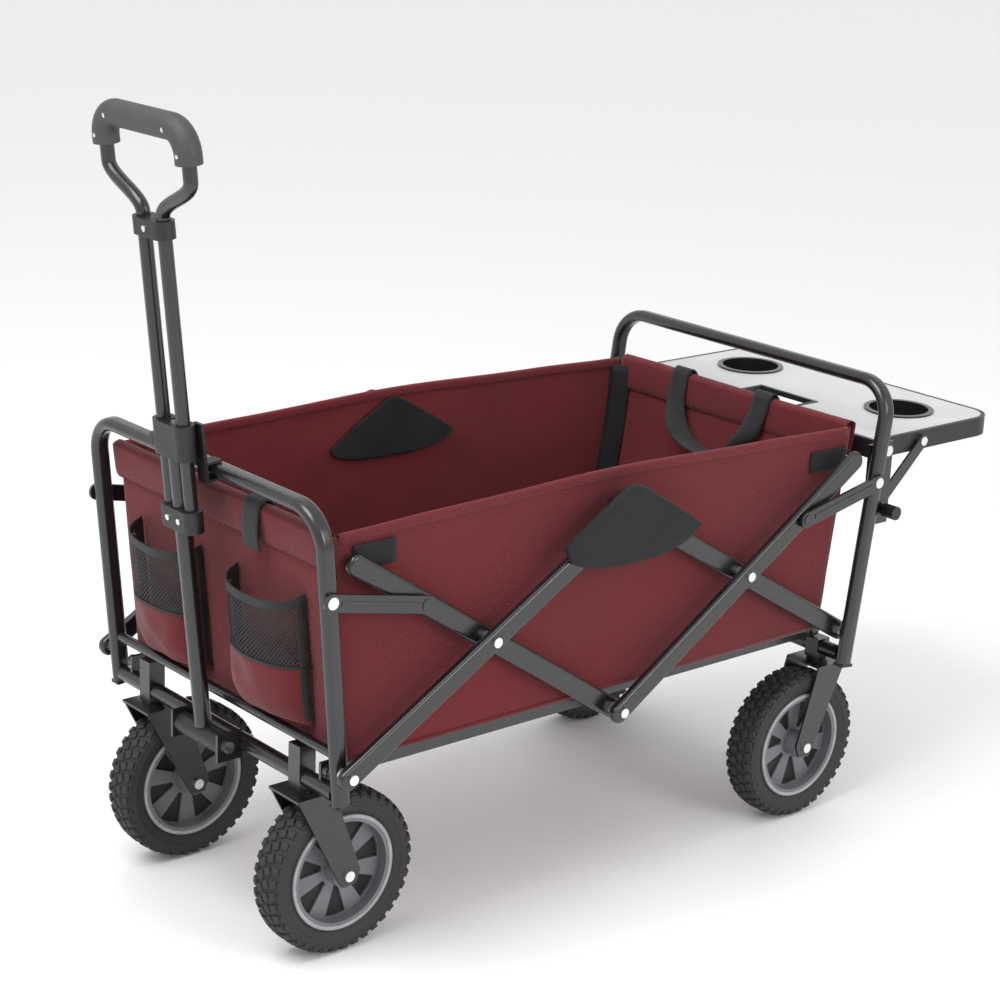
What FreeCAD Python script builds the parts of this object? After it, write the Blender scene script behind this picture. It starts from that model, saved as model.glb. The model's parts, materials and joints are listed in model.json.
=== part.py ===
"""Folding utility wagon with a telescopic pull handle and a fold-down rear table.

Frame: +Z up, the pull handle points to -Y, the table to +Y, origin on the ground under the middle.
All lengths are millimetres. Every driving dimension is a named cell of the sheet "Sizes".
"""
import FreeCAD, Part
import Sketcher
import math
import os

Vector = FreeCAD.Vector
Rotation = FreeCAD.Rotation
Placement = FreeCAD.Placement
X_AXIS, Y_AXIS, Z_AXIS = Vector(1, 0, 0), Vector(0, 1, 0), Vector(0, 0, 1)

doc = FreeCAD.newDocument("Wagon")
sheet = doc.addObject("Spreadsheet::Sheet", "Sizes")

DIMENSIONS = [
    ("shift_y", -86.59, "moves the whole wagon so that its box is centred on the origin"),
    ("wheel_radius", 100, "over the tread"),
    ("tyre_width", 46, "tyre over its shoulders"),
    ("tyre_seat", 71, "radius where the tyre sits on the rim"),
    ("rim_width", 38, "rim band"),
    ("hub_radius", 17, "wheel hub"),
    ("hub_width", 50, "wheel hub, end to end"),
    ("axle_radius", 5, "wheel axle bolt"),
    ("running_gap", 0.05, "radial clearance of a turning fit"),
    ("front_track", 157, "caster post from the middle plane"),
    ("rear_track", 202, "rear wheel from the middle plane"),
    ("caster_trail", 46.5, "front axle behind its swivel"),
    ("rear_trail", 40, "rear axle ahead of its post"),
    ("fork_gap", 52, "inside a fork, across the wheel"),
    ("plate_thick", 3, "pressed fork plate"),
    ("crown_z", 206, "underside of a fork crown"),
    ("post_size", 22, "square fork post"),
    ("front_leg_x", 230, "front frame leg from the middle plane"),
    ("rear_leg_x", 250, "rear frame leg from the middle plane"),
    ("tube_wide", 16, "frame tube in the plane of its loop"),
    ("tube_deep", 22, "frame tube across its loop"),
    ("tube_wall", 1.5, "frame tube wall"),
    ("bend_radius", 44, "frame loop corner, tube centre line"),
    ("leg_foot_z", 217, "lower end of the frame legs"),
    ("front_top_z", 559, "front loop, centre of the top bar"),
    ("rear_top_z", 584, "rear loop, centre of the top bar"),
    ("front_slope", -0.0905, "front loop leans forward, mm per mm of height"),
    ("rear_slope", 0.128, "rear loop leans back, mm per mm of height"),
    ("pivot_y", 403, "low scissor pivots from the middle"),
    ("pivot_z", 257, "height of the low scissor pivots"),
    ("cross_y", 204, "scissor crossings from the middle"),
    ("cross_z", 374.82, "height of the scissor crossings"),
    ("low_mid_z", 241.5, "middle pivot of the bars that run up to the frame tops"),
    ("high_mid_z", 495.6, "middle pivot of the bars that run down to the legs"),
    ("plug_y", 398, "upper bar ends beside the legs"),
    ("bar_thick", 12, "scissor bar across the wagon"),
    ("bar_high", 25, "scissor bar height"),
    ("bar_edge", 4.5, "rounding of the scissor bars"),
    ("pin_radius", 4, "scissor pivot bolt"),
    ("head_radius", 8, "rivet flange"),
    ("cap_radius", 6, "scissor bolt head"),
    ("head_thick", 3, "bolt head"),
    ("link_y", 424, "short link pivot on a frame leg"),
    ("link_z", 461, "height of the short link pivot"),
    ("link_end_y", 295, "other end of the short link"),
    ("link_end_z", 433.7, "height of the other end of the short link"),
    ("link_thick", 4, "short link"),
    ("link_high", 20, "short link height"),
    ("low_bar_z", 227, "lower cross bars"),
    ("low_bar_radius", 10, "lower cross bars"),
    ("floor_bar_z", 276, "upper front cross bar"),
    ("floor_bar_radius", 6, "upper front cross bar and rail ties"),
    ("front_post_top", 266, "top of the front fork posts"),
    ("rear_post_top", 238.5, "top of the rear fork posts, under the floor rails"),
    ("rail_pivot_y", 396, "floor rail pivots from the middle"),
    ("rail_z", 247, "floor rails, centre height"),
    ("rail_high", 14, "floor rail"),
    ("rail_wide", 8, "floor rail"),
    ("front_rail_x", 204, "front floor rail from the middle plane"),
    ("rear_rail_x", 194, "rear floor rail from the middle plane"),
    ("rail_overlap", 8, "floor rail past the middle"),
    ("tie_y", 150, "floor rail tie tubes from the middle"),
    ("tub_half", 219.5, "fabric tub, half its outer width"),
    ("tub_wall", 4, "tub fabric with its padding"),
    ("tub_base_z", 258, "underside of the tub"),
    ("tub_top_z", 527, "rim of the tub"),
    ("tub_front_base", 388, "front wall foot, ahead of the middle"),
    ("tub_front_top", 412, "front wall rim, ahead of the middle"),
    ("tub_rear_base", 386, "rear wall foot, behind the middle"),
    ("tub_rear_top", 420, "rear wall rim, behind the middle"),
    ("mat_thick", 10, "padded floor mat"),
    ("pocket_in", 36, "inner edge of a bottle pocket"),
    ("pocket_out", 168, "outer edge of a bottle pocket"),
    ("pocket_base_z", 288, "underside of the bottle pockets"),
    ("pocket_top_z", 444, "mouth of the bottle pockets"),
    ("pocket_deep", 42, "bottle pocket, front to back"),
    ("pocket_wall", 2, "bottle pocket fabric"),
    ("handle_y", -428, "handle pivot"),
    ("handle_z", 229, "handle pivot"),
    ("handle_lean", 6.1, "handle leans forward at rest, degrees"),
    ("barrel_radius", 12.5, "handle pivot barrel"),
    ("barrel_long", 90, "handle pivot barrel"),
    ("handle_bolt", 4, "handle pivot bolt radius"),
    ("cheek_thick", 4, "handle bracket cheeks"),
    ("stem_radius", 10, "lower handle tube"),
    ("stem_top", 385, "top of the lower tube above the pivot"),
    ("twin_x", 20, "twin handle tubes from the middle plane"),
    ("twin_radius", 8, "twin handle tubes"),
    ("slide_gap", 0.4, "clearance of the telescopic tubes"),
    ("block_wide", 66, "handle guide, bracket and neck clamp"),
    ("block_deep", 25, "handle guide, bracket and neck clamp"),
    ("bracket_low", 259, "lower handle bracket above the pivot"),
    ("bracket_high", 285, "top of the lower handle bracket"),
    ("guide_low", 345, "guide block above the pivot"),
    ("guide_high", 386, "top of the guide block"),
    ("neck_low", 597, "neck clamp above the pivot"),
    ("neck_high", 617, "top of the neck clamp"),
    ("fan_low", 620, "where the twin tubes start to spread"),
    ("fan_high", 668, "where the twin tubes are fully spread"),
    ("grip_half", 82, "spread twin tubes from the middle plane"),
    ("sleeve_low", 687, "open ends of the grip"),
    ("grip_high", 723, "grip bar, centre line above the pivot"),
    ("grip_radius", 15, "grip"),
    ("grip_bend", 28, "grip corner, centre line"),
    ("table_half", 230, "table, half its width"),
    ("table_z", 506, "table top surface"),
    ("table_front", 446, "table front edge"),
    ("table_rear", 693, "table rear edge"),
    ("rim_high", 25, "table rim"),
    ("rim_thick", 6, "table rim"),
    ("board_thick", 6, "table board"),
    ("table_corner", 38, "table rear corners"),
    ("hinge_y", 459, "table hinge"),
    ("hinge_z", 494, "table hinge"),
    ("cup_x", 140, "cup holders from the middle plane"),
    ("cup_y", 596, "cup holders"),
    ("cup_radius", 40, "cup holder bore"),
    ("cup_wall", 2.5, "cup holder wall"),
    ("cup_flange", 47, "cup holder flange radius"),
    ("cup_deep", 30, "cup holder below the table top"),
    ("flange_thick", 2.5, "cup holder flange"),
    ("slot_half", 54, "table cut-out, half its width"),
    ("slot_front", 474, "table cut-out, front edge"),
    ("slot_rear", 530, "table cut-out, rear edge"),
    ("strut_y", 538, "strut rivet on the table rim"),
    ("strut_z", 493, "strut rivet on the table rim"),
    ("catch_y", 456, "lower end of the strut"),
    ("catch_z", 416, "lower end of the strut"),
    ("strut_thick", 3, "strut"),
    ("strut_high", 16, "strut"),
    ("strut_x", 234, "strut, middle of its thickness"),
    ("knob_radius", 9, "strut release knob"),
    ("knob_long", 26, "strut release knob"),
    ("button_wide", 9, "handle release button"),
]
for row, (alias, value, note) in enumerate(DIMENSIONS, start=1):
    sheet.set(f"A{row}", alias)
    sheet.set(f"B{row}", str(value))
    sheet.setAlias(f"B{row}", alias)
    sheet.set(f"C{row}", note)
doc.recompute()
SIZE = {alias: float(sheet.get(alias)) for alias, value, note in DIMENSIONS}
parts = []


def cell(formula):
    """Turns a formula of sheet names into one that an expression can read."""
    words = formula.replace("(", " ( ").replace(")", " ) ").split()
    return " ".join("Sizes." + word if word in SIZE else word for word in words)


def bind(thing, **formulas):
    """Binds sizes of an object to formulas of the sheet's cells."""
    for prop, formula in formulas.items():
        thing.setExpression(prop, cell(formula))


def keep(thing, label):
    """Names a finished sub-part. Its label is its file's name."""
    thing.Label = label
    parts.append(thing)
    return thing


def settle(thing, centre, axis=X_AXIS, degrees=0.0):
    """Puts the middle of a freshly made primitive at a point, turned about an axis."""
    doc.recompute()
    turn = Rotation(axis, degrees)
    middle = thing.Shape.BoundBox.Center
    thing.Placement = Placement(Vector(*centre) - turn.multVec(middle), turn)
    return thing


def box(wide, deep, high, centre, axis=X_AXIS, degrees=0.0):
    """A box whose sizes are formulas."""
    thing = doc.addObject("Part::Box", "Block")
    bind(thing, Length=wide, Width=deep, Height=high)
    return settle(thing, centre, axis, degrees)


def rod(radius, length, centre, along="x"):
    """A cylinder whose sizes are formulas, along x, y or z."""
    thing = doc.addObject("Part::Cylinder", "Rod")
    bind(thing, Radius=radius, Height=length)
    axis, degrees = {"x": (Y_AXIS, 90), "y": (X_AXIS, 90), "z": (X_AXIS, 0)}[along]
    return settle(thing, centre, axis, degrees)


def fuse(*things):
    joined = doc.addObject("Part::MultiFuse", "Joined")
    joined.Shapes = list(things)
    return joined


def cut(base, *tools):
    for tool in tools:
        trimmed = doc.addObject("Part::Cut", "Trimmed")
        trimmed.Base = base
        trimmed.Tool = tool
        base = trimmed
    return base


def group(things):
    """Separate solids that share one node."""
    gathered = doc.addObject("Part::Compound", "Group")
    gathered.Links = list(things)
    return gathered


def both_sides(*halves):
    """The left pieces and their mirror images on the right, as one group."""
    things = list(halves)
    for half in halves:
        other = doc.addObject("Part::Mirroring", "Mirror")
        other.Source = half
        other.Normal = X_AXIS
        things.append(other)
    return group(things)


def new_body(name):
    return doc.addObject("PartDesign::Body", name)


def plane(body, role):
    return next(item for item in body.Origin.OriginFeatures if item.Role == role)


def pin_point(sketch, index, point, at):
    """Holds one sketch point at two formulas, measured from the sketch's origin."""
    for letter, formula, value in (("X", point[0], at.x), ("Y", point[1], at.y)):
        if formula == "0":
            axis = -2 if letter == "X" else -1
            sketch.addConstraint(Sketcher.Constraint("PointOnObject", index[0], index[1], axis))
            continue
        rule = Sketcher.Constraint("Distance" + letter, -1, 1, index[0], index[1], value)
        number = sketch.addConstraint(rule)
        sketch.setExpression(f"Constraints[{number}]", cell(formula))


def outline(body, role, points, values, holes=()):
    """A closed outline of straight sides, with round holes, every point held by two formulas.

    values are the points' own coordinates; a hole is (x formula, y formula, radius formula, values).
    """
    sketch = body.newObject("Sketcher::SketchObject", "Outline")
    sketch.AttachmentSupport = [(plane(body, role), "")]
    sketch.MapMode = "FlatFace"
    corners = [Vector(x, y, 0) for x, y in values]
    count = len(corners)
    for index in range(count):
        sketch.addGeometry(Part.LineSegment(corners[index], corners[(index + 1) % count]))
    for index in range(count):
        sketch.addConstraint(Sketcher.Constraint("Coincident", index, 2, (index + 1) % count, 1))
        pin_point(sketch, (index, 1), points[index], corners[index])
    for x, y, radius, numbers in holes:
        centre = Vector(numbers[0], numbers[1], 0)
        ring = sketch.addGeometry(Part.Circle(centre, Z_AXIS, numbers[2]))
        pin_point(sketch, (ring, 3), (x, y), centre)
        number = sketch.addConstraint(Sketcher.Constraint("Radius", ring, numbers[2]))
        sketch.setExpression(f"Constraints[{number}]", cell(radius))
    return sketch


def pad(body, sketch, length):
    """Pads a sketch to both sides of its plane."""
    feature = body.newObject("PartDesign::Pad", "Pad")
    feature.Profile = sketch
    feature.Midplane = True
    bind(feature, Length=length)
    doc.recompute()
    return feature


def pocket(body, sketch, length):
    """Cuts a sketch out to both sides of its plane."""
    feature = body.newObject("PartDesign::Pocket", "Pocket")
    feature.Profile = sketch
    feature.Midplane = True
    bind(feature, Length=length)
    doc.recompute()
    return feature


def round_edges(body, base, radius, wanted):
    """Rounds the edges of a feature that pass a test."""
    names = [f"Edge{i}" for i, edge in enumerate(base.Shape.Edges, start=1) if wanted(edge)]
    feature = body.newObject("PartDesign::Fillet", "Rounding")
    feature.Base = (base, names)
    bind(feature, Radius=radius)
    doc.recompute()
    return feature


def runs_along(axis):
    """A test for straight edges that run along an axis."""
    def test(edge):
        if edge.Curve.TypeId != "Part::GeomLine":
            return False
        return abs(edge.tangentAt(edge.FirstParameter).dot(axis)) > 0.999
    return test


def turned(name, points, values):
    """A ring or a stepped shaft: an outline of (radius, height) turned about the Z axis."""
    body = new_body(name)
    sketch = outline(body, "XZ_Plane", points, values)
    feature = body.newObject("PartDesign::Revolution", "Turned")
    feature.Profile = sketch
    feature.ReferenceAxis = (sketch, ["V_Axis"])
    feature.Angle = 360
    doc.recompute()
    return body, feature


def on_line(slope, side, height):
    """Y of a leaning frame leg's centre line at a height."""
    return side * SIZE["pivot_y"] + slope * (height - SIZE["pivot_z"])


def sweep(path, section):
    """A solid made by carrying a closed wire along a path."""
    return Part.Wire(path).makePipeShell([section], True, False)


def oval(wide, deep):
    """A rounded oval wire in the XY plane, wide along X and deep along Y."""
    radius = wide / 2
    flat = deep / 2 - radius
    sides = [
        Part.LineSegment(Vector(radius, -flat, 0), Vector(radius, flat, 0)).toShape(),
        Part.Arc(Vector(radius, flat, 0), Vector(0, deep / 2, 0), Vector(-radius, flat, 0)).toShape(),
        Part.LineSegment(Vector(-radius, flat, 0), Vector(-radius, -flat, 0)).toShape(),
        Part.Arc(Vector(-radius, -flat, 0), Vector(0, -deep / 2, 0), Vector(radius, -flat, 0)).toShape(),
    ]
    return Part.Wire(sides)


def loop_path(half, foot, top, bend):
    """The centre line of an upside-down U in the XZ plane."""
    shoulder = top - bend
    inner = half - bend
    diagonal = bend * math.sqrt(0.5)
    return [
        Part.LineSegment(Vector(half, 0, foot), Vector(half, 0, shoulder)).toShape(),
        Part.Arc(Vector(half, 0, shoulder), Vector(inner + diagonal, 0, shoulder + diagonal),
                 Vector(inner, 0, top)).toShape(),
        Part.LineSegment(Vector(inner, 0, top), Vector(-inner, 0, top)).toShape(),
        Part.Arc(Vector(-inner, 0, top), Vector(-inner - diagonal, 0, shoulder + diagonal),
                 Vector(-half, 0, shoulder)).toShape(),
        Part.LineSegment(Vector(-half, 0, shoulder), Vector(-half, 0, foot)).toShape(),
    ]


def frame_loop(label, half, top, slope, side):
    """A bent tube loop that leans about its low scissor pivots."""
    lean = math.degrees(math.atan(slope))
    stretch = 1 / math.cos(math.radians(lean))
    foot = (SIZE["leg_foot_z"] - SIZE["pivot_z"]) * stretch
    path = loop_path(half, foot, (top - SIZE["pivot_z"]) * stretch, SIZE["bend_radius"])
    skins = []
    for wall in (0, SIZE["tube_wall"]):
        ring = oval(SIZE["tube_wide"] - 2 * wall, SIZE["tube_deep"] - 2 * wall)
        ring.translate(Vector(half, 0, foot))
        skins.append(sweep(path, ring))
    thing = doc.addObject("Part::Feature", "Loop")
    thing.Shape = skins[0].cut(skins[1])
    thing.Placement = Placement(
        Vector(0, side * SIZE["pivot_y"], SIZE["pivot_z"]), Rotation(X_AXIS, -lean))
    return keep(thing, label)


def leg_feet(label, half, slope, side):
    """Plastic plugs that close the lower ends of a loop."""
    lean = math.degrees(math.atan(slope))
    y = on_line(slope, side, SIZE["leg_foot_z"])
    cap = box("tube_wide - 1", "tube_deep - 2", "4",
              (half, y, SIZE["leg_foot_z"] - 2.2), X_AXIS, -lean)
    return keep(both_sides(cap), label)


# ------------------------------------------------------------------ frame loops and cross bars
frame_loop("front_frame_loop", SIZE["front_leg_x"], SIZE["front_top_z"], SIZE["front_slope"], -1)
frame_loop("rear_frame_loop", SIZE["rear_leg_x"], SIZE["rear_top_z"], SIZE["rear_slope"], 1)
leg_feet("front_leg_plugs", SIZE["front_leg_x"], SIZE["front_slope"], -1)
leg_feet("rear_leg_plugs", SIZE["rear_leg_x"], SIZE["rear_slope"], 1)

for end, side, leg, slope, track in (
    ("front", -1, "front_leg_x", "front_slope", "front_track"),
    ("rear", 1, "rear_leg_x", "rear_slope", "rear_track"),
):
    low_y = on_line(SIZE[slope], side, SIZE["low_bar_z"])
    span = f"2 * {leg} - tube_wide"
    bars = [rod("low_bar_radius", span, (0, low_y, SIZE["low_bar_z"]))]
    if end == "front":
        floor_y = on_line(SIZE[slope], side, SIZE["floor_bar_z"])
        bars.append(rod("floor_bar_radius", span, (0, floor_y, SIZE["floor_bar_z"])))
    keep(group(bars), f"{end}_cross_bars")

    post_low = SIZE["crown_z"] + SIZE["plate_thick"] + 3
    post_top = f"{end}_post_top"
    post = box("post_size", "post_size", f"{post_top} - {post_low}",
               (SIZE[track], low_y, (post_low + SIZE[post_top]) / 2))
    hole = rod("low_bar_radius", "3 * post_size", (SIZE[track], low_y, SIZE["low_bar_z"]))
    keep(both_sides(cut(post, hole)), f"{end}_fork_posts")

POST_Y = {
    "front": on_line(SIZE["front_slope"], -1, SIZE["low_bar_z"]),
    "rear": on_line(SIZE["rear_slope"], 1, SIZE["low_bar_z"]),
}
AXLE_Y = {
    "front": POST_Y["front"] + SIZE["caster_trail"],
    "rear": POST_Y["rear"] - SIZE["rear_trail"],
}


# ------------------------------------------------------------------ wheels and forks
def fork(x, axle_y, post_y):
    """A pressed fork: a crown over the tyre and two slanting arms down to the axle."""
    reach = post_y - axle_y
    toward = 1 if reach > 0 else -1
    top = SIZE["crown_z"] + SIZE["plate_thick"] - SIZE["wheel_radius"]
    values = [
        (reach + toward * 25, top), (reach - toward * 25, top), (-toward * 17, 4),
        (-toward * 11, -12), (toward * 7, -14), (toward * 15, -2),
    ]
    points = [(str(x_value), str(z_value)) for x_value, z_value in values]
    hole = ("0", "0", "axle_radius", (0, 0, SIZE["axle_radius"]))
    arms = []
    for hand in (-1, 1):
        body = new_body("Arm")
        pad(body, outline(body, "YZ_Plane", points, values, [hole]), "plate_thick")
        offset = hand * (SIZE["fork_gap"] + SIZE["plate_thick"]) / 2
        body.Placement = Placement(Vector(x + offset, axle_y, SIZE["wheel_radius"]), Rotation())
        arms.append(body)
    crown = box("fork_gap + 2 * plate_thick", "50", "plate_thick",
                (x, post_y, SIZE["crown_z"] + SIZE["plate_thick"] / 2))
    collar = rod("post_size / 2 + 2", "2.6", (x, post_y, SIZE["crown_z"] + SIZE["plate_thick"] + 1.3), "z")
    return fuse(arms[0], arms[1], crown, collar)


def wheel(end, hand, x, axle_y):
    """A moulded rim with windows and a thick tyre, on an axle bolt along X."""
    seat = Placement(Vector(x, axle_y, SIZE["wheel_radius"]), Rotation(Y_AXIS, 90 * hand))
    inner, outer, half = SIZE["tyre_seat"], SIZE["wheel_radius"], SIZE["tyre_width"] / 2

    body, ring = turned(
        "Tyre",
        [("tyre_seat", "tyre_width / -2"), ("wheel_radius", "tyre_width / -2"),
         ("wheel_radius", "tyre_width / 2"), ("tyre_seat", "tyre_width / 2")],
        [(inner, -half), (outer, -half), (outer, half), (inner, half)],
    )
    round_edges(body, ring, "tyre_width / 4", lambda edge: abs(edge.BoundBox.XMax - outer) < 0.01
                and edge.BoundBox.ZLength < 0.01)
    body.Placement = seat
    side_name = "left" if hand > 0 else "right"
    keep(body, f"{end}_tyre_{side_name}")

    band, web, hub = SIZE["rim_width"] / 2, 5.0, SIZE["hub_width"] / 2
    bore = SIZE["axle_radius"] + SIZE["running_gap"]
    profile = [
        ("axle_radius + running_gap", "hub_width / -2", bore, -hub),
        ("hub_radius", "hub_width / -2", SIZE["hub_radius"], -hub),
        ("hub_radius", "-5", SIZE["hub_radius"], -web),
        ("tyre_seat - 9", "-5", inner - 9, -web),
        ("tyre_seat - 9", "rim_width / -2", inner - 9, -band),
        ("tyre_seat", "rim_width / -2", inner, -band),
        ("tyre_seat", "rim_width / 2", inner, band),
        ("tyre_seat - 9", "rim_width / 2", inner - 9, band),
        ("tyre_seat - 9", "5", inner - 9, web),
        ("hub_radius", "5", SIZE["hub_radius"], web),
        ("hub_radius", "hub_width / 2", SIZE["hub_radius"], hub),
        ("axle_radius + running_gap", "hub_width / 2", bore, hub),
    ]
    body, ring = turned("Rim", [p[:2] for p in profile], [p[2:] for p in profile])
    window = outline(
        body, "XY_Plane",
        [("hub_radius + 4", "-3"), ("tyre_seat - 12.5", "-14.5"),
         ("tyre_seat - 10.5", "0"), ("tyre_seat - 12.5", "14.5"), ("hub_radius + 4", "3")],
        [(SIZE["hub_radius"] + 4, -3), (inner - 12.5, -14.5),
         (inner - 10.5, 0), (inner - 12.5, 14.5), (SIZE["hub_radius"] + 4, 3)],
    )
    opening = pocket(body, window, "rim_width")
    spread = body.newObject("PartDesign::PolarPattern", "Windows")
    spread.Originals = [opening]
    spread.Axis = (window, ["N_Axis"])
    spread.Angle = 360
    spread.Occurrences = 7
    body.Tip = spread
    doc.recompute()
    body.Placement = seat
    blind, disc = turned(
        "Web",
        [("hub_radius - 3", "-1.5"), ("tyre_seat - 4", "-1.5"), ("tyre_seat - 4", "1.5"), ("hub_radius - 3", "1.5")],
        [(SIZE["hub_radius"] - 3, -1.5), (inner - 4, -1.5), (inner - 4, 1.5), (SIZE["hub_radius"] - 3, 1.5)],
    )
    blind.Placement = seat
    keep(fuse(body, blind), f"{end}_rim_{side_name}")


def axle(x, axle_y):
    """An axle bolt with a head outside each fork arm."""
    shaft = rod("axle_radius", "fork_gap + 2 * plate_thick", (x, axle_y, SIZE["wheel_radius"]))
    offset = SIZE["fork_gap"] / 2 + SIZE["plate_thick"] + 2
    heads = [rod("axle_radius + 1.5", "4", (x + hand * offset, axle_y, SIZE["wheel_radius"]))
             for hand in (-1, 1)]
    return fuse(shaft, *heads)


for hand, side_name in ((1, "left"), (-1, "right")):
    x = hand * SIZE["front_track"]
    keep(fork(x, AXLE_Y["front"], POST_Y["front"]), f"front_fork_{side_name}")
    keep(axle(x, AXLE_Y["front"]), f"front_axle_{side_name}")
    wheel("front", hand, x, AXLE_Y["front"])
    wheel("rear", hand, hand * SIZE["rear_track"], AXLE_Y["rear"])
keep(both_sides(fork(SIZE["rear_track"], AXLE_Y["rear"], POST_Y["rear"])), "rear_forks")
keep(both_sides(axle(SIZE["rear_track"], AXLE_Y["rear"])), "rear_axles")


# ------------------------------------------------------------------ scissor bars and their bolts
def flat_bar(x, start, finish, thick, high, edge, extra, holes):
    """A rounded bar from start to finish, (y, z) each, running past both by extra.

    holes are distances from start along the bar, each with a radius formula.
    """
    run = math.dist(start, finish)
    tilt = math.degrees(math.atan2(finish[1] - start[1], finish[0] - start[0]))
    half = SIZE[high] / 2
    low, far = -extra[0], run + extra[1]
    body = new_body("Bar")
    corners = [(low, -half), (far, -half), (far, half), (low, half)]
    points = [(str(low), f"{high} / -2"), (str(far), f"{high} / -2"),
              (str(far), f"{high} / 2"), (str(low), f"{high} / 2")]
    rings = [("0" if at == 0 else str(at), "0", "pin_radius + running_gap",
              (at, 0, SIZE["pin_radius"] + SIZE["running_gap"])) for at in holes]
    base = pad(body, outline(body, "YZ_Plane", points, corners, rings), thick)
    ends = round_edges(body, base, f"{high} / 2 - 1", runs_along(X_AXIS))
    side = SIZE[thick] / 2
    if edge:
        round_edges(body, ends, edge, lambda e: abs(abs(e.BoundBox.Center.x) - side) < 0.01
                    and e.BoundBox.XLength < 0.01
                    and max(e.BoundBox.YLength, e.BoundBox.ZLength) > 2.2 * SIZE["pin_radius"])
    body.Placement = Placement(Vector(x, start[0], start[1]), Rotation(X_AXIS, tilt))
    return body


def bolt(centre, pieces):
    """A stepped bolt along X: (x from, x to, radius formula) pieces on one (y, z) centre."""
    y, z = centre
    solids = [rod(radius, str(high - low), ((low + high) / 2, y, z)) for low, high, radius in pieces]
    return solids[0] if len(solids) == 1 else fuse(*solids)


INNER, OUTER = SIZE["front_leg_x"], SIZE["rear_leg_x"]
HALF_BAR = SIZE["bar_thick"] / 2
HALF_TUBE = SIZE["tube_wide"] / 2
PIVOT = (SIZE["pivot_y"], SIZE["pivot_z"])
CROSS = (SIZE["cross_y"], SIZE["cross_z"])
LOW_MID = (0, SIZE["low_mid_z"])
HIGH_MID = (0, SIZE["high_mid_z"])
RISE = (SIZE["cross_z"] - SIZE["low_mid_z"]) / SIZE["cross_y"]
PLUG = (SIZE["plug_y"], SIZE["low_mid_z"] + RISE * SIZE["plug_y"])


def at_end(point, side):
    return (side * point[0], point[1])


for end, side in (("front", -1), ("rear", 1)):
    rising_x, falling_x = (INNER, OUTER) if side < 0 else (OUTER, INNER)
    cross = at_end(CROSS, side)
    rising = flat_bar(rising_x, LOW_MID, at_end(PLUG, side), "bar_thick", "bar_high", "bar_edge",
                      (15, -3), [0, math.dist(LOW_MID, cross)])
    falling = flat_bar(falling_x, at_end(PIVOT, side), HIGH_MID, "bar_thick", "bar_high", "bar_edge",
                       (15, 15), [0, math.dist(at_end(PIVOT, side), cross)])
    keep(both_sides(rising), f"{end}_rising_bars")
    keep(both_sides(falling), f"{end}_falling_bars")

inner_face, outer_face = INNER - HALF_BAR, OUTER + HALF_BAR
GAP = 0.3
THROUGH = (inner_face - SIZE["head_thick"], inner_face, "cap_radius"), \
          (inner_face, outer_face, "pin_radius"), \
          (outer_face, outer_face + SIZE["head_thick"], "cap_radius"), \
          (INNER + HALF_BAR + GAP, OUTER - HALF_BAR - GAP, "head_radius")
keep(both_sides(bolt(at_end(CROSS, -1), THROUGH), bolt(LOW_MID, THROUGH)), "front_bar_bolts")
keep(both_sides(bolt(at_end(CROSS, 1), THROUGH)), "rear_bar_bolts")
cap = (outer_face, outer_face + SIZE["head_thick"], "cap_radius")
stub = (OUTER - HALF_BAR - 7.4, OUTER - HALF_BAR, "head_radius")
keep(both_sides(bolt(HIGH_MID, [cap]), bolt(HIGH_MID, [stub])), "upper_middle_bolts")

front_bolt = [
    (INNER + HALF_TUBE, OUTER - HALF_BAR - GAP, "head_radius"),
    (INNER + HALF_TUBE, outer_face, "pin_radius"),
    (outer_face, outer_face + SIZE["head_thick"], "cap_radius"),
]
leg_bolts = {"front": [bolt(at_end(PIVOT, -1), front_bolt)]}
rear_bolt = [
    (INNER + HALF_BAR + GAP, OUTER - HALF_TUBE, "head_radius"),
    (inner_face, OUTER - HALF_TUBE, "pin_radius"),
    (inner_face - SIZE["head_thick"], inner_face, "cap_radius"),
]
leg_bolts["rear"] = [bolt(at_end(PIVOT, 1), rear_bolt)]

# ------------------------------------------------------------------ short links
for end, side, leg in (("front", -1, "front_leg_x"), ("rear", 1, "rear_leg_x")):
    leg_face = SIZE[leg] + HALF_TUBE
    link_x = leg_face + 0.6 + SIZE["link_thick"] / 2
    face = link_x + SIZE["link_thick"] / 2
    start = (side * SIZE["link_y"], SIZE["link_z"])
    finish = (side * SIZE["link_end_y"], SIZE["link_end_z"])
    link = flat_bar(link_x, start, finish, "link_thick", "link_high", None, (11, 11), [0])
    tilt = math.degrees(math.atan2(finish[1] - start[1], finish[0] - start[0]))
    middle = ((start[0] + finish[0]) / 2, (start[1] + finish[1]) / 2)
    rib = box("0.8", str(math.dist(start, finish) - 24), "6", (face + 0.3, *middle), X_AXIS, tilt)
    end_rivet = bolt(finish, [(face - 0.1, face + 0.9, "head_radius - 1")])
    keep(both_sides(fuse(link, rib, end_rivet)), f"{end}_links")
    rivet = [(leg_face, face + 0.1, "pin_radius"), (face + 0.1, face + 0.9, "head_radius - 1")]
    leg_bolts[end].append(bolt(start, rivet))
keep(both_sides(*leg_bolts["rear"]), "rear_leg_bolts")


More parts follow.
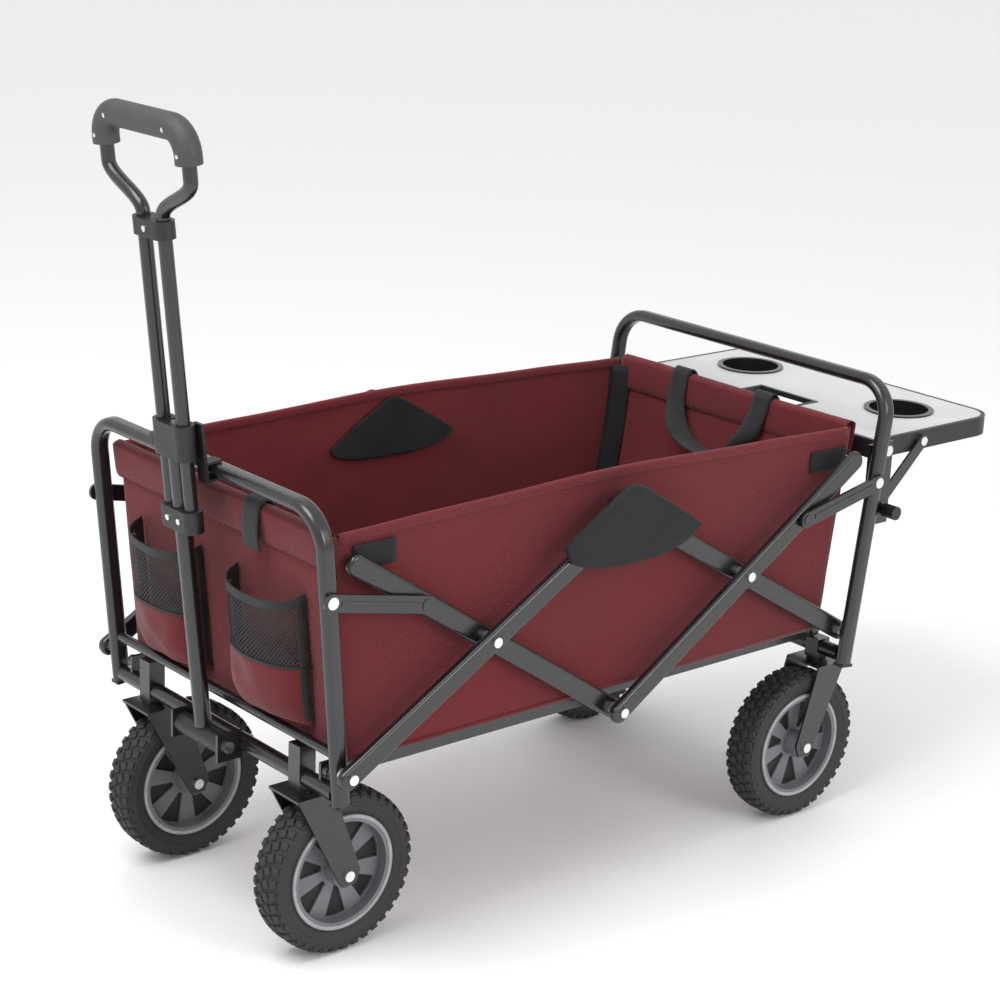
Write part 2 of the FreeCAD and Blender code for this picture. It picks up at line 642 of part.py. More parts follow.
# ------------------------------------------------------------------ floor rails
for end, side, rail in (("front", -1, "front_rail_x"), ("rear", 1, "rear_rail_x")):
    start = (side * SIZE["rail_pivot_y"], SIZE["rail_z"])
    finish = (-side * SIZE["rail_overlap"], SIZE["rail_z"])
    bars = []
    for hand in (1, -1):
        bars.append(flat_bar(hand * SIZE[rail], start, finish, "rail_wide", "rail_high", None, (8, 0), [0]))
    bars.append(rod("floor_bar_radius", f"2 * {rail} - rail_wide",
                    (0, side * SIZE["tie_y"], SIZE["rail_z"])))
    keep(group(bars), f"{end}_floor_rails")
    inside = SIZE[rail] - SIZE["rail_wide"] / 2
    outside = SIZE[rail] + SIZE["rail_wide"] / 2
    lug = cut(
        box("4", "18", "24", (inside - 2.4, start[0], SIZE["rail_z"] - 2)),
        rod("low_bar_radius", "20", (inside, POST_Y[end], SIZE["low_bar_z"])),
    )
    pin = bolt(start, [(inside - 1, outside + 0.4, "pin_radius"),
                       (outside + 0.4, outside + 2.4, "head_radius - 1")])
    keep(both_sides(fuse(lug, pin)), f"{end}_rail_lugs")


# ------------------------------------------------------------------ fabric tub, mat and pockets
def tub_front(height):
    share = (height - SIZE["tub_base_z"]) / (SIZE["tub_top_z"] - SIZE["tub_base_z"])
    return -SIZE["tub_front_base"] - share * (SIZE["tub_front_top"] - SIZE["tub_front_base"])


body = new_body("Tub")
shell = pad(body, outline(
    body, "YZ_Plane",
    [("tub_front_base * -1", "tub_base_z"), ("tub_rear_base", "tub_base_z"),
     ("tub_rear_top", "tub_top_z"), ("tub_front_top * -1", "tub_top_z")],
    [(-SIZE["tub_front_base"], SIZE["tub_base_z"]), (SIZE["tub_rear_base"], SIZE["tub_base_z"]),
     (SIZE["tub_rear_top"], SIZE["tub_top_z"]), (-SIZE["tub_front_top"], SIZE["tub_top_z"])],
), "2 * tub_half")
wall = SIZE["tub_wall"]
pocket(body, outline(
    body, "YZ_Plane",
    [("tub_wall - tub_front_base", "tub_base_z + tub_wall"),
     ("tub_rear_base - tub_wall", "tub_base_z + tub_wall"),
     ("tub_rear_top - tub_wall", "tub_top_z + 1"), ("tub_wall - tub_front_top", "tub_top_z + 1")],
    [(wall - SIZE["tub_front_base"], SIZE["tub_base_z"] + wall),
     (SIZE["tub_rear_base"] - wall, SIZE["tub_base_z"] + wall),
     (SIZE["tub_rear_top"] - wall, SIZE["tub_top_z"] + 1),
     (wall - SIZE["tub_front_top"], SIZE["tub_top_z"] + 1)],
), "2 * tub_half - 2 * tub_wall")
keep(body, "fabric_tub")

mat_middle = (SIZE["tub_rear_base"] - SIZE["tub_front_base"]) / 2
mat_z = SIZE["tub_base_z"] + wall + 0.3 + SIZE["mat_thick"] / 2
keep(box("2 * tub_half - 2 * tub_wall - 8", "tub_rear_base + tub_front_base - 2 * tub_wall - 8",
         "mat_thick", (0, mat_middle, mat_z)), "floor_mat")

body = new_body("Pocket")
low, high, deep = SIZE["pocket_base_z"], SIZE["pocket_top_z"], SIZE["pocket_deep"]
back_low, back_high = tub_front(low) - 0.5, tub_front(high) - 0.5
skin = SIZE["pocket_wall"]
corners = [(back_low, low), (back_high, high), (back_high - deep, high), (back_low - deep, low)]
pad(body, outline(body, "YZ_Plane",
                  [(str(corners[0][0]), "pocket_base_z"), (str(corners[1][0]), "pocket_top_z"),
                   (f"{back_high} - pocket_deep", "pocket_top_z"),
                   (f"{back_low} - pocket_deep", "pocket_base_z")], corners),
    "pocket_out - pocket_in")
corners = [(back_low - skin, low + skin), (back_high - skin, high + 1),
           (back_high - deep + skin, high + 1), (back_low - deep + skin, low + skin)]
pocket(body, outline(body, "YZ_Plane",
                     [(f"{back_low} - pocket_wall", "pocket_base_z + pocket_wall"),
                      (f"{back_high} - pocket_wall", "pocket_top_z + 1"),
                      (f"{back_high} - pocket_deep + pocket_wall", "pocket_top_z + 1"),
                      (f"{back_low} - pocket_deep + pocket_wall", "pocket_base_z + pocket_wall")],
                     corners), "pocket_out - pocket_in - 2 * pocket_wall")
body.Placement = Placement(Vector((SIZE["pocket_in"] + SIZE["pocket_out"]) / 2, 0, 0), Rotation())
keep(both_sides(body), "front_pockets")


# ------------------------------------------------------------------ pull handle
HANDLE = Placement(Vector(0, SIZE["handle_y"], SIZE["handle_z"]), Rotation(X_AXIS, SIZE["handle_lean"]))


def on_handle(thing, label):
    """Leans a piece, modelled upright about the pivot, with the handle."""
    thing.Placement = HANDLE.multiply(thing.Placement)
    return keep(thing, label)


def bored(width_shift, low, high, holes):
    """A rounded block across the handle tubes, with a hole for each (x, radius formula)."""
    tall = f"{high} - {low}"
    middle = (SIZE[low] + SIZE[high]) / 2
    core = box(f"block_wide - block_deep - {width_shift}", "block_deep", tall, (0, 0, middle))
    offset = (SIZE["block_wide"] - SIZE["block_deep"] - width_shift) / 2
    rounds = [rod("block_deep / 2", tall, (hand * offset, 0, middle), "z") for hand in (-1, 1)]
    tools = [rod(radius, f"{tall} + 4", (x, 0, middle), "z") for x, radius in holes]
    return cut(fuse(core, *rounds), *tools)


barrel = cut(
    rod("barrel_radius", "barrel_long", (0, 0, 0)),
    rod("handle_bolt + running_gap", "barrel_long + 2", (0, 0, 0)),
)
stem = rod("stem_radius", "stem_top - barrel_radius + 1", (0, 0, (SIZE["stem_top"] + SIZE["barrel_radius"] - 1) / 2), "z")
on_handle(barrel, "handle_pivot_barrel")
on_handle(cut(stem, rod("barrel_radius", "barrel_long", (0, 0, 0))), "handle_lower_tube")

twin = [(hand * SIZE["twin_x"], "twin_radius + slide_gap") for hand in (-1, 1)]
fixed_twin = [(hand * SIZE["twin_x"], "twin_radius") for hand in (-1, 1)]
on_handle(bored(0, "guide_low", "guide_high", twin + [(0, "stem_radius")]), "handle_guide")
on_handle(bored(0, "bracket_low", "bracket_high", fixed_twin + [(0, "stem_radius + slide_gap")]),
          "handle_bracket")
on_handle(bored(2, "neck_low", "neck_high", fixed_twin), "handle_neck_clamp")

cheeks = box("cheek_thick", "34", "34", ((SIZE["barrel_long"] + SIZE["cheek_thick"]) / 2 + 0.4,
                                         SIZE["handle_y"] + 3, SIZE["handle_z"]))
bar_hole = rod("low_bar_radius", "barrel_long", (SIZE["barrel_long"] / 2, POST_Y["front"], SIZE["low_bar_z"]))
bolt_hole = rod("handle_bolt", "barrel_long", (SIZE["barrel_long"] / 2, SIZE["handle_y"], SIZE["handle_z"]))
keep(both_sides(cut(cheeks, bar_hole, bolt_hole)), "handle_cheeks")
ear = SIZE["barrel_long"] / 2 + SIZE["cheek_thick"] + 0.4
pivot_bolt = [rod("handle_bolt", str(2 * ear), (0, SIZE["handle_y"], SIZE["handle_z"]))]
for hand in (-1, 1):
    pivot_bolt.append(rod("handle_bolt + 3", "4", (hand * (ear + 2), SIZE["handle_y"], SIZE["handle_z"])))
keep(group([both_sides(*leg_bolts["front"]), fuse(*pivot_bolt)]), "front_frame_bolts")


def twin_tube(hand):
    """One upper tube: straight, an S bend outward, then straight up into the grip."""
    near, far = hand * SIZE["twin_x"], hand * SIZE["grip_half"]
    low, high = SIZE["fan_low"], SIZE["fan_high"]
    pull = (high - low) * 0.4
    path = Part.BezierCurve()
    bend = [Vector(near, 0, low), Vector(near, 0, low + pull),
            Vector(far, 0, high - pull), Vector(far, 0, high)]
    path.setPoles(bend)
    edges = [
        Part.LineSegment(Vector(near, 0, SIZE["bracket_low"]), bend[0]).toShape(),
        path.toShape(),
        Part.LineSegment(bend[3], Vector(far, 0, SIZE["grip_high"] - SIZE["grip_bend"])).toShape(),
    ]
    ring = Part.Wire([Part.Circle(Vector(near, 0, SIZE["bracket_low"]), Z_AXIS, SIZE["twin_radius"]).toShape()])
    return sweep(edges, ring)


tubes = doc.addObject("Part::Feature", "TwinTubes")
tubes.Shape = Part.makeCompound([twin_tube(hand) for hand in (-1, 1)])
on_handle(tubes, "handle_upper_tubes")

half, top, bend = SIZE["grip_half"], SIZE["grip_high"], SIZE["grip_bend"]
ring = Part.Wire([Part.Circle(Vector(half, 0, SIZE["sleeve_low"]), Z_AXIS, SIZE["grip_radius"]).toShape()])
grip_solid = sweep(loop_path(half, SIZE["sleeve_low"], top, bend), ring)
depth = top - bend - SIZE["sleeve_low"]
for hand in (-1, 1):
    grip_solid = grip_solid.cut(Part.makeCylinder(
        SIZE["twin_radius"], depth, Vector(hand * half, 0, SIZE["sleeve_low"]), Z_AXIS))
grip = doc.addObject("Part::Feature", "Grip")
grip.Shape = grip_solid
on_handle(grip, "handle_grip")

rivets = []
for low, high, spots in (("bracket_low", "bracket_high", (-11, 11)), ("neck_low", "neck_high", (0,))):
    middle = (SIZE[low] + SIZE[high]) / 2
    for x in spots:
        rivets.append(rod("3.5", "1.5", (x, -SIZE["block_deep"] / 2 - 0.75, middle), "y"))
on_handle(group(rivets), "handle_rivets")

# the clip on the guide snaps on the front loop's top bar from the front
bar_local = HANDLE.inverse().multVec(Vector(
    0, on_line(SIZE["front_slope"], -1, SIZE["front_top_z"]), SIZE["front_top_z"]))
jaw = SIZE["tube_wide"] / 2 + 0.6
clip_x = SIZE["twin_x"] + SIZE["twin_radius"]
web_front = SIZE["block_deep"] / 2
web_high = SIZE["guide_high"] - bar_local.z + jaw + 3
web = box("16", "4", str(web_high), (clip_x, web_front + 2.4, SIZE["guide_high"] - web_high / 2))
jaws = []
for hand in (-1, 1):
    jaws.append(box("16", str(bar_local.y - web_front + 2.6), "3",
                    (clip_x, (bar_local.y + 3.4 + web_front) / 2, bar_local.z + hand * (jaw + 1.5))))
on_handle(fuse(web, *jaws), "handle_clip")

button_x = -(SIZE["block_wide"] + SIZE["button_wide"]) / 2 - 4.5
on_handle(box("button_wide", "10", "12", (button_x, 0, SIZE["guide_low"] + 12)), "handle_button")

# ------------------------------------------------------------------ rear table
long_half = (SIZE["table_rear"] - SIZE["table_front"]) / 2
table_mid = (SIZE["table_rear"] + SIZE["table_front"]) / 2


def table_slab(inset, thick, holes=(), corner="table_corner"):
    """A plate with rounded rear corners, centred on the table and lying in the XY plane."""
    half_x = SIZE["table_half"] - inset * SIZE["rim_thick"]
    half_y = long_half - inset * SIZE["rim_thick"]
    side = f"(table_half - {inset} * rim_thick)"
    front = f"(table_rear - table_front) / -2 + {inset} * rim_thick"
    back = f"(table_rear - table_front) / 2 - {inset} * rim_thick"
    body = new_body("Slab")
    base = pad(body, outline(
        body, "XY_Plane",
        [(f"-1 * {side}", front), (side, front), (side, back), (f"-1 * {side}", back)],
        [(-half_x, -half_y), (half_x, -half_y), (half_x, half_y), (-half_x, half_y)], holes), thick)
    upright = runs_along(Z_AXIS)
    round_edges(body, base, corner, lambda e: upright(e) and e.BoundBox.Center.y > 0)
    return body


rim_body = table_slab(0, "rim_high")
inner_slab = table_slab(1, "2 * rim_high", corner="table_corner - rim_thick")
for thing in (rim_body, inner_slab):
    thing.Placement = Placement(Vector(0, table_mid, SIZE["table_z"] - SIZE["rim_high"] / 2), Rotation())
hinge_hole = rod("pin_radius", "2 * table_half + 4", (0, SIZE["hinge_y"], SIZE["hinge_z"]))
keep(cut(rim_body, inner_slab, hinge_hole), "table_rim")

cup_holes = [(f"{hand} * cup_x", f"cup_y - (table_rear + table_front) / 2", "cup_radius + cup_wall",
              (hand * SIZE["cup_x"], SIZE["cup_y"] - table_mid, SIZE["cup_radius"] + SIZE["cup_wall"]))
             for hand in (-1, 1)]
board = table_slab(1, "board_thick", cup_holes, "table_corner - rim_thick")
board.Placement = Placement(Vector(0, table_mid, SIZE["table_z"] - SIZE["board_thick"] / 2), Rotation())
opening = box("2 * slot_half", "slot_rear - slot_front", "3 * board_thick",
              (0, (SIZE["slot_front"] + SIZE["slot_rear"]) / 2, SIZE["table_z"]))
keep(cut(board, opening), "table_board")

slot_mid = (SIZE["slot_front"] + SIZE["slot_rear"]) / 2
bezel = cut(
    box("2 * slot_half", "slot_rear - slot_front", "board_thick + 1",
        (0, slot_mid, SIZE["table_z"] - SIZE["board_thick"] / 2 + 0.5)),
    box("2 * slot_half - 10", "slot_rear - slot_front - 10", "4 * board_thick", (0, slot_mid, SIZE["table_z"])),
)
keep(bezel, "table_slot_frame")

outer_cup, floor_top = SIZE["cup_radius"] + SIZE["cup_wall"], SIZE["cup_wall"] - SIZE["cup_deep"]
cup, turned_cup = turned(
    "Cup",
    [("0", "cup_deep * -1"), ("cup_radius + cup_wall", "cup_deep * -1"),
     ("cup_radius + cup_wall", "0.01"), ("cup_flange", "0.01"), ("cup_flange", "flange_thick"),
     ("cup_radius", "flange_thick"), ("cup_radius", "cup_wall - cup_deep"),
     ("0", "cup_wall - cup_deep")],
    [(0, -SIZE["cup_deep"]), (outer_cup, -SIZE["cup_deep"]),
     (outer_cup, 0.01), (SIZE["cup_flange"], 0.01), (SIZE["cup_flange"], SIZE["flange_thick"]),
     (SIZE["cup_radius"], SIZE["flange_thick"]), (SIZE["cup_radius"], floor_top), (0, floor_top)],
)
cup.Placement = Placement(Vector(SIZE["cup_x"], SIZE["cup_y"], SIZE["table_z"]), Rotation())
keep(both_sides(cup), "cup_holders")

plate_in = SIZE["rear_leg_x"] - HALF_TUBE - 4
strut_low, strut_high = SIZE["strut_x"] - SIZE["strut_thick"] / 2, SIZE["strut_x"] + SIZE["strut_thick"] / 2
hinge = [
    (SIZE["table_half"] - SIZE["rim_thick"] - 3, SIZE["table_half"] - SIZE["rim_thick"], "head_radius - 2"),
    (SIZE["table_half"] - SIZE["rim_thick"], plate_in + 4, "pin_radius"),
    (plate_in + 4.3, plate_in + 7, "head_radius - 1"),
    (plate_in + 4, plate_in + 4.3, "pin_radius"),
    (SIZE["table_half"], strut_high + 0.8, "head_radius - 2"),
]
low_z, high_z = SIZE["catch_z"] - 20, SIZE["hinge_z"] + 12
plate = box("4", "44", str(high_z - low_z),
            (plate_in + 2, SIZE["hinge_y"] - 12, (low_z + high_z) / 2))
plate_holes = [
    rod("pin_radius + running_gap", "20", (plate_in, SIZE["hinge_y"], SIZE["hinge_z"])),
    rod("pin_radius + running_gap", "20", (plate_in, SIZE["catch_y"], SIZE["catch_z"])),
]
keep(both_sides(cut(plate, *plate_holes)), "table_leg_brackets")

strut = flat_bar(SIZE["strut_x"], (SIZE["strut_y"], SIZE["strut_z"]), (SIZE["catch_y"], SIZE["catch_z"]),
                 "strut_thick", "strut_high", None, (8, 8), [0])
keep(both_sides(strut), "table_struts")
strut_rivet = [
    (SIZE["table_half"], strut_low - 0.3, "head_radius - 2"),
    (SIZE["table_half"], strut_high + 0.3, "pin_radius"),
    (strut_high + 0.3, strut_high + 1.3, "head_radius - 2"),
]
hinge_bolt = bolt((SIZE["hinge_y"], SIZE["hinge_z"]), hinge)
keep(both_sides(hinge_bolt, bolt((SIZE["strut_y"], SIZE["strut_z"]), strut_rivet)), "table_bolts")

for hand, side_name in ((1, "left"), (-1, "right")):
    near = plate_in + 4.6
    y, z = SIZE["catch_y"], SIZE["catch_z"]
    pin_low = strut_high + 1.7
    pin = rod("pin_radius", str(near - pin_low), (hand * (near + pin_low) / 2, y, z))
    collar = rod("knob_radius - 2.5", "6", (hand * (near + 3), y, z))
    head = rod("knob_radius", "knob_long - 6", (hand * (near + 6 + (SIZE["knob_long"] - 6) / 2), y, z))
    keep(fuse(pin, collar, head), f"strut_knob_{side_name}")

# ------------------------------------------------------------------ checks and files
doc.recompute()
shift = Placement(Vector(0, SIZE["shift_y"], 0), Rotation())
for thing in parts:
    thing.Placement = shift.multiply(thing.Placement)
doc.recompute()

for thing in doc.Objects:
    if "Invalid" in thing.State or "Error" in thing.State:
        raise SystemExit(f"{thing.Label} did not recompute: {thing.State}")
for thing in parts:
    if thing.Shape.isNull() or not thing.Shape.isValid() or not thing.Shape.Solids:
        raise SystemExit(f"{thing.Label} has no valid solid")

os.makedirs("parts", exist_ok=True)
whole = FreeCAD.BoundBox()
for thing in parts:
    whole.add(thing.Shape.optimalBoundingBox(False))
    thing.Shape.exportStep(f"parts/{thing.Label}.step")
print(len(parts), "parts; box", whole)
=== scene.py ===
"""Folding utility wagon: steel scissor frame, sewn cloth tub, pull handle and rear table.

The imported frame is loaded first; the sewn pieces, tyres and small fittings are made here.
"""
import bpy
import bmesh
import json
import math
from mathutils import Matrix, Vector, noise


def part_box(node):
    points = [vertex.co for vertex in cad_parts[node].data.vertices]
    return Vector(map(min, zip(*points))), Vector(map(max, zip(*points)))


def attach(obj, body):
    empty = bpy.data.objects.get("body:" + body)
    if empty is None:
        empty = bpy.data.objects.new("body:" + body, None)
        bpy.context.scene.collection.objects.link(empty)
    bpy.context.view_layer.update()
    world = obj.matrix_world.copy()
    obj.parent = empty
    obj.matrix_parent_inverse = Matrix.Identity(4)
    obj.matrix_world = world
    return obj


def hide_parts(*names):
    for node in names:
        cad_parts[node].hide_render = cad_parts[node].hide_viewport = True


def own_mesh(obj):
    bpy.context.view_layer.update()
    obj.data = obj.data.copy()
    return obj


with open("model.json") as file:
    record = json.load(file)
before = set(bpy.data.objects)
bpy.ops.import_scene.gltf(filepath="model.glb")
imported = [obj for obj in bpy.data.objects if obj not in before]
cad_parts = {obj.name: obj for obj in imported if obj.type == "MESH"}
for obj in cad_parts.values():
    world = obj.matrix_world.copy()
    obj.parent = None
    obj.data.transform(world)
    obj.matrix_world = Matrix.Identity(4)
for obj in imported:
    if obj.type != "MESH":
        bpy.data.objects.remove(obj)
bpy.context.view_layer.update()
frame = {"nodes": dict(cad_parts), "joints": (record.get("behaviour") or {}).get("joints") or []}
nodes = frame["nodes"]

# ---- Studio ---------------------------------------------------------------------------------
# A pale floor under soft white light, as in a product studio: a broad light over the handle end,
# a fill from the left and a bright even surround that the glossy tubes reflect.

camera_data = bpy.data.cameras.new("camera")
camera_data.lens = 85.5
camera_data.sensor_width = 36
camera_data.clip_end = 200
camera = bpy.data.objects.new("camera", camera_data)
bpy.context.scene.collection.objects.link(camera)
bpy.context.scene.camera = camera
round_about, up_by, tipped = math.radians(49.405), math.radians(17.155), math.radians(2.284)
camera.matrix_world = (
    Matrix.Translation((2.1609, -1.9270, 1.3180))
    @ Matrix.Rotation(round_about, 4, "Z")
    @ Matrix.Rotation(math.pi / 2 - up_by, 4, "X")
    @ Matrix.Rotation(tipped, 4, "Z")
)


def finish_named(name, colour, roughness, metallic=0.0):
    """A finish and the parts of its node tree: tree, shader and object coordinates."""
    finish = bpy.data.materials.new(name)
    finish.use_nodes = True
    tree = finish.node_tree
    shader = tree.nodes["Principled BSDF"]
    shader.inputs["Base Color"].default_value = (*colour, 1)
    shader.inputs["Roughness"].default_value = roughness
    shader.inputs["Metallic"].default_value = metallic
    where = tree.nodes.new("ShaderNodeTexCoord").outputs["Object"]
    return finish, tree, shader, where


def put(tree, kind, feeds, **settings):
    """Adds a node; feeds are its inputs, as values or as other nodes' outputs."""
    node = tree.nodes.new(kind)
    for word, value in settings.items():
        setattr(node, word, value)
    for socket, value in feeds.items():
        if isinstance(value, bpy.types.NodeSocket):
            tree.links.new(value, node.inputs[socket])
        else:
            node.inputs[socket].default_value = value
    return node


def grain(tree, where, scale, detail=3.0):
    """Cloudy variation at a scale, as a number from 0 to 1."""
    feeds = {"Vector": where, "Scale": scale, "Detail": detail}
    return put(tree, "ShaderNodeTexNoise", feeds).outputs["Fac"]


def between(tree, number, low, high, span=(0.3, 0.7)):
    """Spreads a number over low to high."""
    feeds = {"Value": number, "From Min": span[0], "From Max": span[1], "To Min": low, "To Max": high}
    return put(tree, "ShaderNodeMapRange", feeds).outputs["Result"]


def tints(tree, number, *stops):
    """A colour that follows a number: stops are (place, colour)."""
    ramp = put(tree, "ShaderNodeValToRGB", {"Fac": number})
    band = ramp.color_ramp
    while len(band.elements) < len(stops):
        band.elements.new(0.5)
    for element, (place, colour) in zip(band.elements, stops):
        element.position = place
        element.color = (*colour, 1)
    return ramp.outputs["Color"]


def mottled(tree, shader, number, dark, pale, dull=None):
    """A colour from dark to pale, and a roughness within dull, that follow one cloudy number."""
    tree.links.new(tints(tree, number, (0.3, dark), (0.7, pale)), shader.inputs["Base Color"])
    if dull:
        tree.links.new(between(tree, number, *dull), shader.inputs["Roughness"])


def raised(tree, shader, height, strength, depth):
    """Lets a height pattern stand out of the surface."""
    feeds = {"Height": height, "Strength": strength, "Distance": depth}
    bump = put(tree, "ShaderNodeBump", feeds)
    tree.links.new(bump.outputs["Normal"], shader.inputs["Normal"])


floor_paint, tree, shader, where = finish_named("studio_floor", (0.93, 0.93, 0.935), 0.55)
tree.links.new(between(tree, grain(tree, where, 3.0), 0.5, 0.62), shader.inputs["Roughness"])
floor_mesh = bmesh.new()
bmesh.ops.create_grid(floor_mesh, x_segments=2, y_segments=2, size=45)
floor_data = bpy.data.meshes.new("studio_floor")
floor_mesh.to_mesh(floor_data)
floor_mesh.free()
floor_data.materials.append(floor_paint)
studio_floor = bpy.data.objects.new("studio_floor", floor_data)
bpy.context.scene.collection.objects.link(studio_floor)

surround = bpy.data.worlds.new("surround")
surround.use_nodes = True
surround.node_tree.nodes["Background"].inputs["Color"].default_value = (1, 1, 1, 1)
surround.node_tree.nodes["Background"].inputs["Strength"].default_value = 0.9
bpy.context.scene.world = surround
bpy.context.scene.view_settings.view_transform = "Standard"


def soft_light(name, place, towards, wide, power):
    """A square soft light at a place, aimed towards another."""
    lamp = bpy.data.lights.new(name, "AREA")
    lamp.size = wide
    lamp.energy = power
    light = bpy.data.objects.new(name, lamp)
    aim = (Vector(place) - Vector(towards)).to_track_quat("Z", "Y")
    light.matrix_world = Matrix.Translation(place) @ aim.to_matrix().to_4x4()
    bpy.context.scene.collection.objects.link(light)


soft_light("key_light", (0.2, -2.0, 3.3), (0, 0, 0.3), 2.0, 78)
soft_light("side_light", (3.2, 0.4, 1.7), (0, 0.1, 0.3), 1.4, 30)

# ---- Frame steel ----------------------------------------------------------------------------
# Oval and square steel tubes and pressed plates, powder coated in gloss black. The coat has a
# faint orange peel, and it is a little duller where hands and folding rub it.

frame_coat, tree, shader, where = finish_named("frame_coat", (0.008, 0.008, 0.009), 0.3)
patchy = grain(tree, where, 9.0)
mottled(tree, shader, patchy, (0.006, 0.006, 0.007), (0.011, 0.011, 0.0125), (0.2, 0.34))
raised(tree, shader, grain(tree, where, 700.0, 1.0), 0.08, 0.0006)
shader.inputs["Specular IOR Level"].default_value = 0.62
shader.inputs["Coat Weight"].default_value = 0.25
shader.inputs["Coat Roughness"].default_value = 0.18

steel_nodes = (
    "rear_frame_loop front_frame_loop rear_cross_bars front_cross_bars rear_fork_posts front_fork_posts "
    "rear_forks front_fork_left front_fork_right rear_rail_lugs front_rail_lugs rear_falling_bars "
    "rear_rising_bars front_rising_bars front_falling_bars front_links rear_links front_floor_rails "
    "rear_floor_rails handle_cheeks handle_lower_tube handle_upper_tubes table_leg_brackets table_struts"
).split()


def wear(names, finish):
    """Gives CAD nodes their finish."""
    for name in names:
        held = nodes[name]
        if not held.material_slots:
            held.data.materials.append(finish)
        for place in held.material_slots:
            place.material = finish


wear(steel_nodes, frame_coat)

# ---- Moulded fittings and bolts -------------------------------------------------------------
# Black nylon plugs, brackets and clamps with a fine moulded texture, and zinc plated bolts and
# rivets with slightly scuffed bright heads.

nylon, tree, shader, where = finish_named("black_nylon", (0.01, 0.01, 0.0105), 0.45)
cloud = grain(tree, where, 30.0)
mottled(tree, shader, cloud, (0.008, 0.008, 0.0085), (0.014, 0.014, 0.0145), (0.36, 0.52))
raised(tree, shader, grain(tree, where, 1400.0, 2.0), 0.18, 0.0005)
fitting_nodes = (
    "rear_leg_plugs front_leg_plugs handle_guide handle_clip handle_button handle_bracket "
    "handle_neck_clamp handle_pivot_barrel table_rim table_slot_frame strut_knob_left strut_knob_right"
).split()
wear(fitting_nodes, nylon)

zinc, tree, shader, where = finish_named("bright_zinc", (0.8, 0.8, 0.82), 0.22, metallic=1.0)
scuff = grain(tree, where, 160.0, 5.0)
mottled(tree, shader, scuff, (0.74, 0.74, 0.76), (0.86, 0.86, 0.87), (0.16, 0.38))
raised(tree, shader, scuff, 0.05, 0.0004)
wear([name for name in nodes if name.endswith(("_bolts", "_rivets")) or "_axle" in name], zinc)

# ---- Grip, table and rims -------------------------------------------------------------------
# The grip is a grey moulded sleeve with a fine pimpled texture. The table board is pale grey
# satin plastic, its cup holders are gloss black, and the wheel rims are mid grey satin plastic.

grip_rubber, tree, shader, where = finish_named("grip_rubber", (0.045, 0.046, 0.048), 0.55)
pimples = put(tree, "ShaderNodeTexVoronoi", {"Vector": where, "Scale": 520.0}).outputs["Distance"]
rubbed = grain(tree, where, 18.0)
mottled(tree, shader, rubbed, (0.036, 0.037, 0.039), (0.056, 0.057, 0.06), (0.45, 0.62))
raised(tree, shader, pimples, 0.35, 0.0008)
wear(["handle_grip"], grip_rubber)

table_plastic, tree, shader, where = finish_named("table_plastic", (0.6, 0.605, 0.61), 0.42)
faint = grain(tree, where, 12.0)
mottled(tree, shader, faint, (0.52, 0.525, 0.53), (0.59, 0.595, 0.6), (0.36, 0.5))
raised(tree, shader, grain(tree, where, 1100.0, 2.0), 0.12, 0.0004)
wear(["table_board"], table_plastic)

cup_plastic, tree, shader, where = finish_named("cup_plastic", (0.012, 0.012, 0.013), 0.16)
tree.links.new(between(tree, grain(tree, where, 40.0), 0.12, 0.26), shader.inputs["Roughness"])
raised(tree, shader, grain(tree, where, 260.0, 2.0), 0.05, 0.0004)
wear(["cup_holders"], cup_plastic)

rim_plastic, tree, shader, where = finish_named("rim_plastic", (0.16, 0.165, 0.175), 0.42)
cast = grain(tree, where, 16.0)
mottled(tree, shader, cast, (0.12, 0.124, 0.132), (0.165, 0.17, 0.18), (0.34, 0.5))
raised(tree, shader, grain(tree, where, 900.0, 2.0), 0.12, 0.0005)
wear([name for name in nodes if "_rim_" in name], rim_plastic)

# ---- Cloth tub ------------------------------------------------------------------------------
# The tub is a box sewn from maroon polyester with a small woven diamond figure, slack between
# the frame's bars. The end walls lean outwards to the frame tops that carry them.

maroon, tree, shader, where = finish_named("maroon_cloth", (0.19, 0.018, 0.024), 0.85)


def laid_cloth(tree):
    """The cloth's own coordinates in metres, and the same turned over, for crossing yarns."""
    laid = put(tree, "ShaderNodeUVMap", {}, uv_map="weave").outputs["UV"]
    turned = put(tree, "ShaderNodeMapping", {"Vector": laid, "Scale": (1, -1, 1)}).outputs["Vector"]
    return laid, turned


def stripes(tree, along, scale):
    """Slanting yarns across the cloth, slightly uneven."""
    feeds = {"Vector": along, "Scale": scale, "Distortion": 0.6, "Detail": 1.0, "Detail Scale": 3.0}
    return put(tree, "ShaderNodeTexWave", feeds, bands_direction="DIAGONAL").outputs["Fac"]


def crossed(tree, kind, scale):
    """Yarns that cross: kind MULTIPLY leaves small diamonds, MAXIMUM keeps both sets of ribs."""
    laid, turned = laid_cloth(tree)
    feeds = {0: stripes(tree, laid, scale), 1: stripes(tree, turned, scale)}
    return put(tree, "ShaderNodeMath", feeds, operation=kind).outputs["Value"]


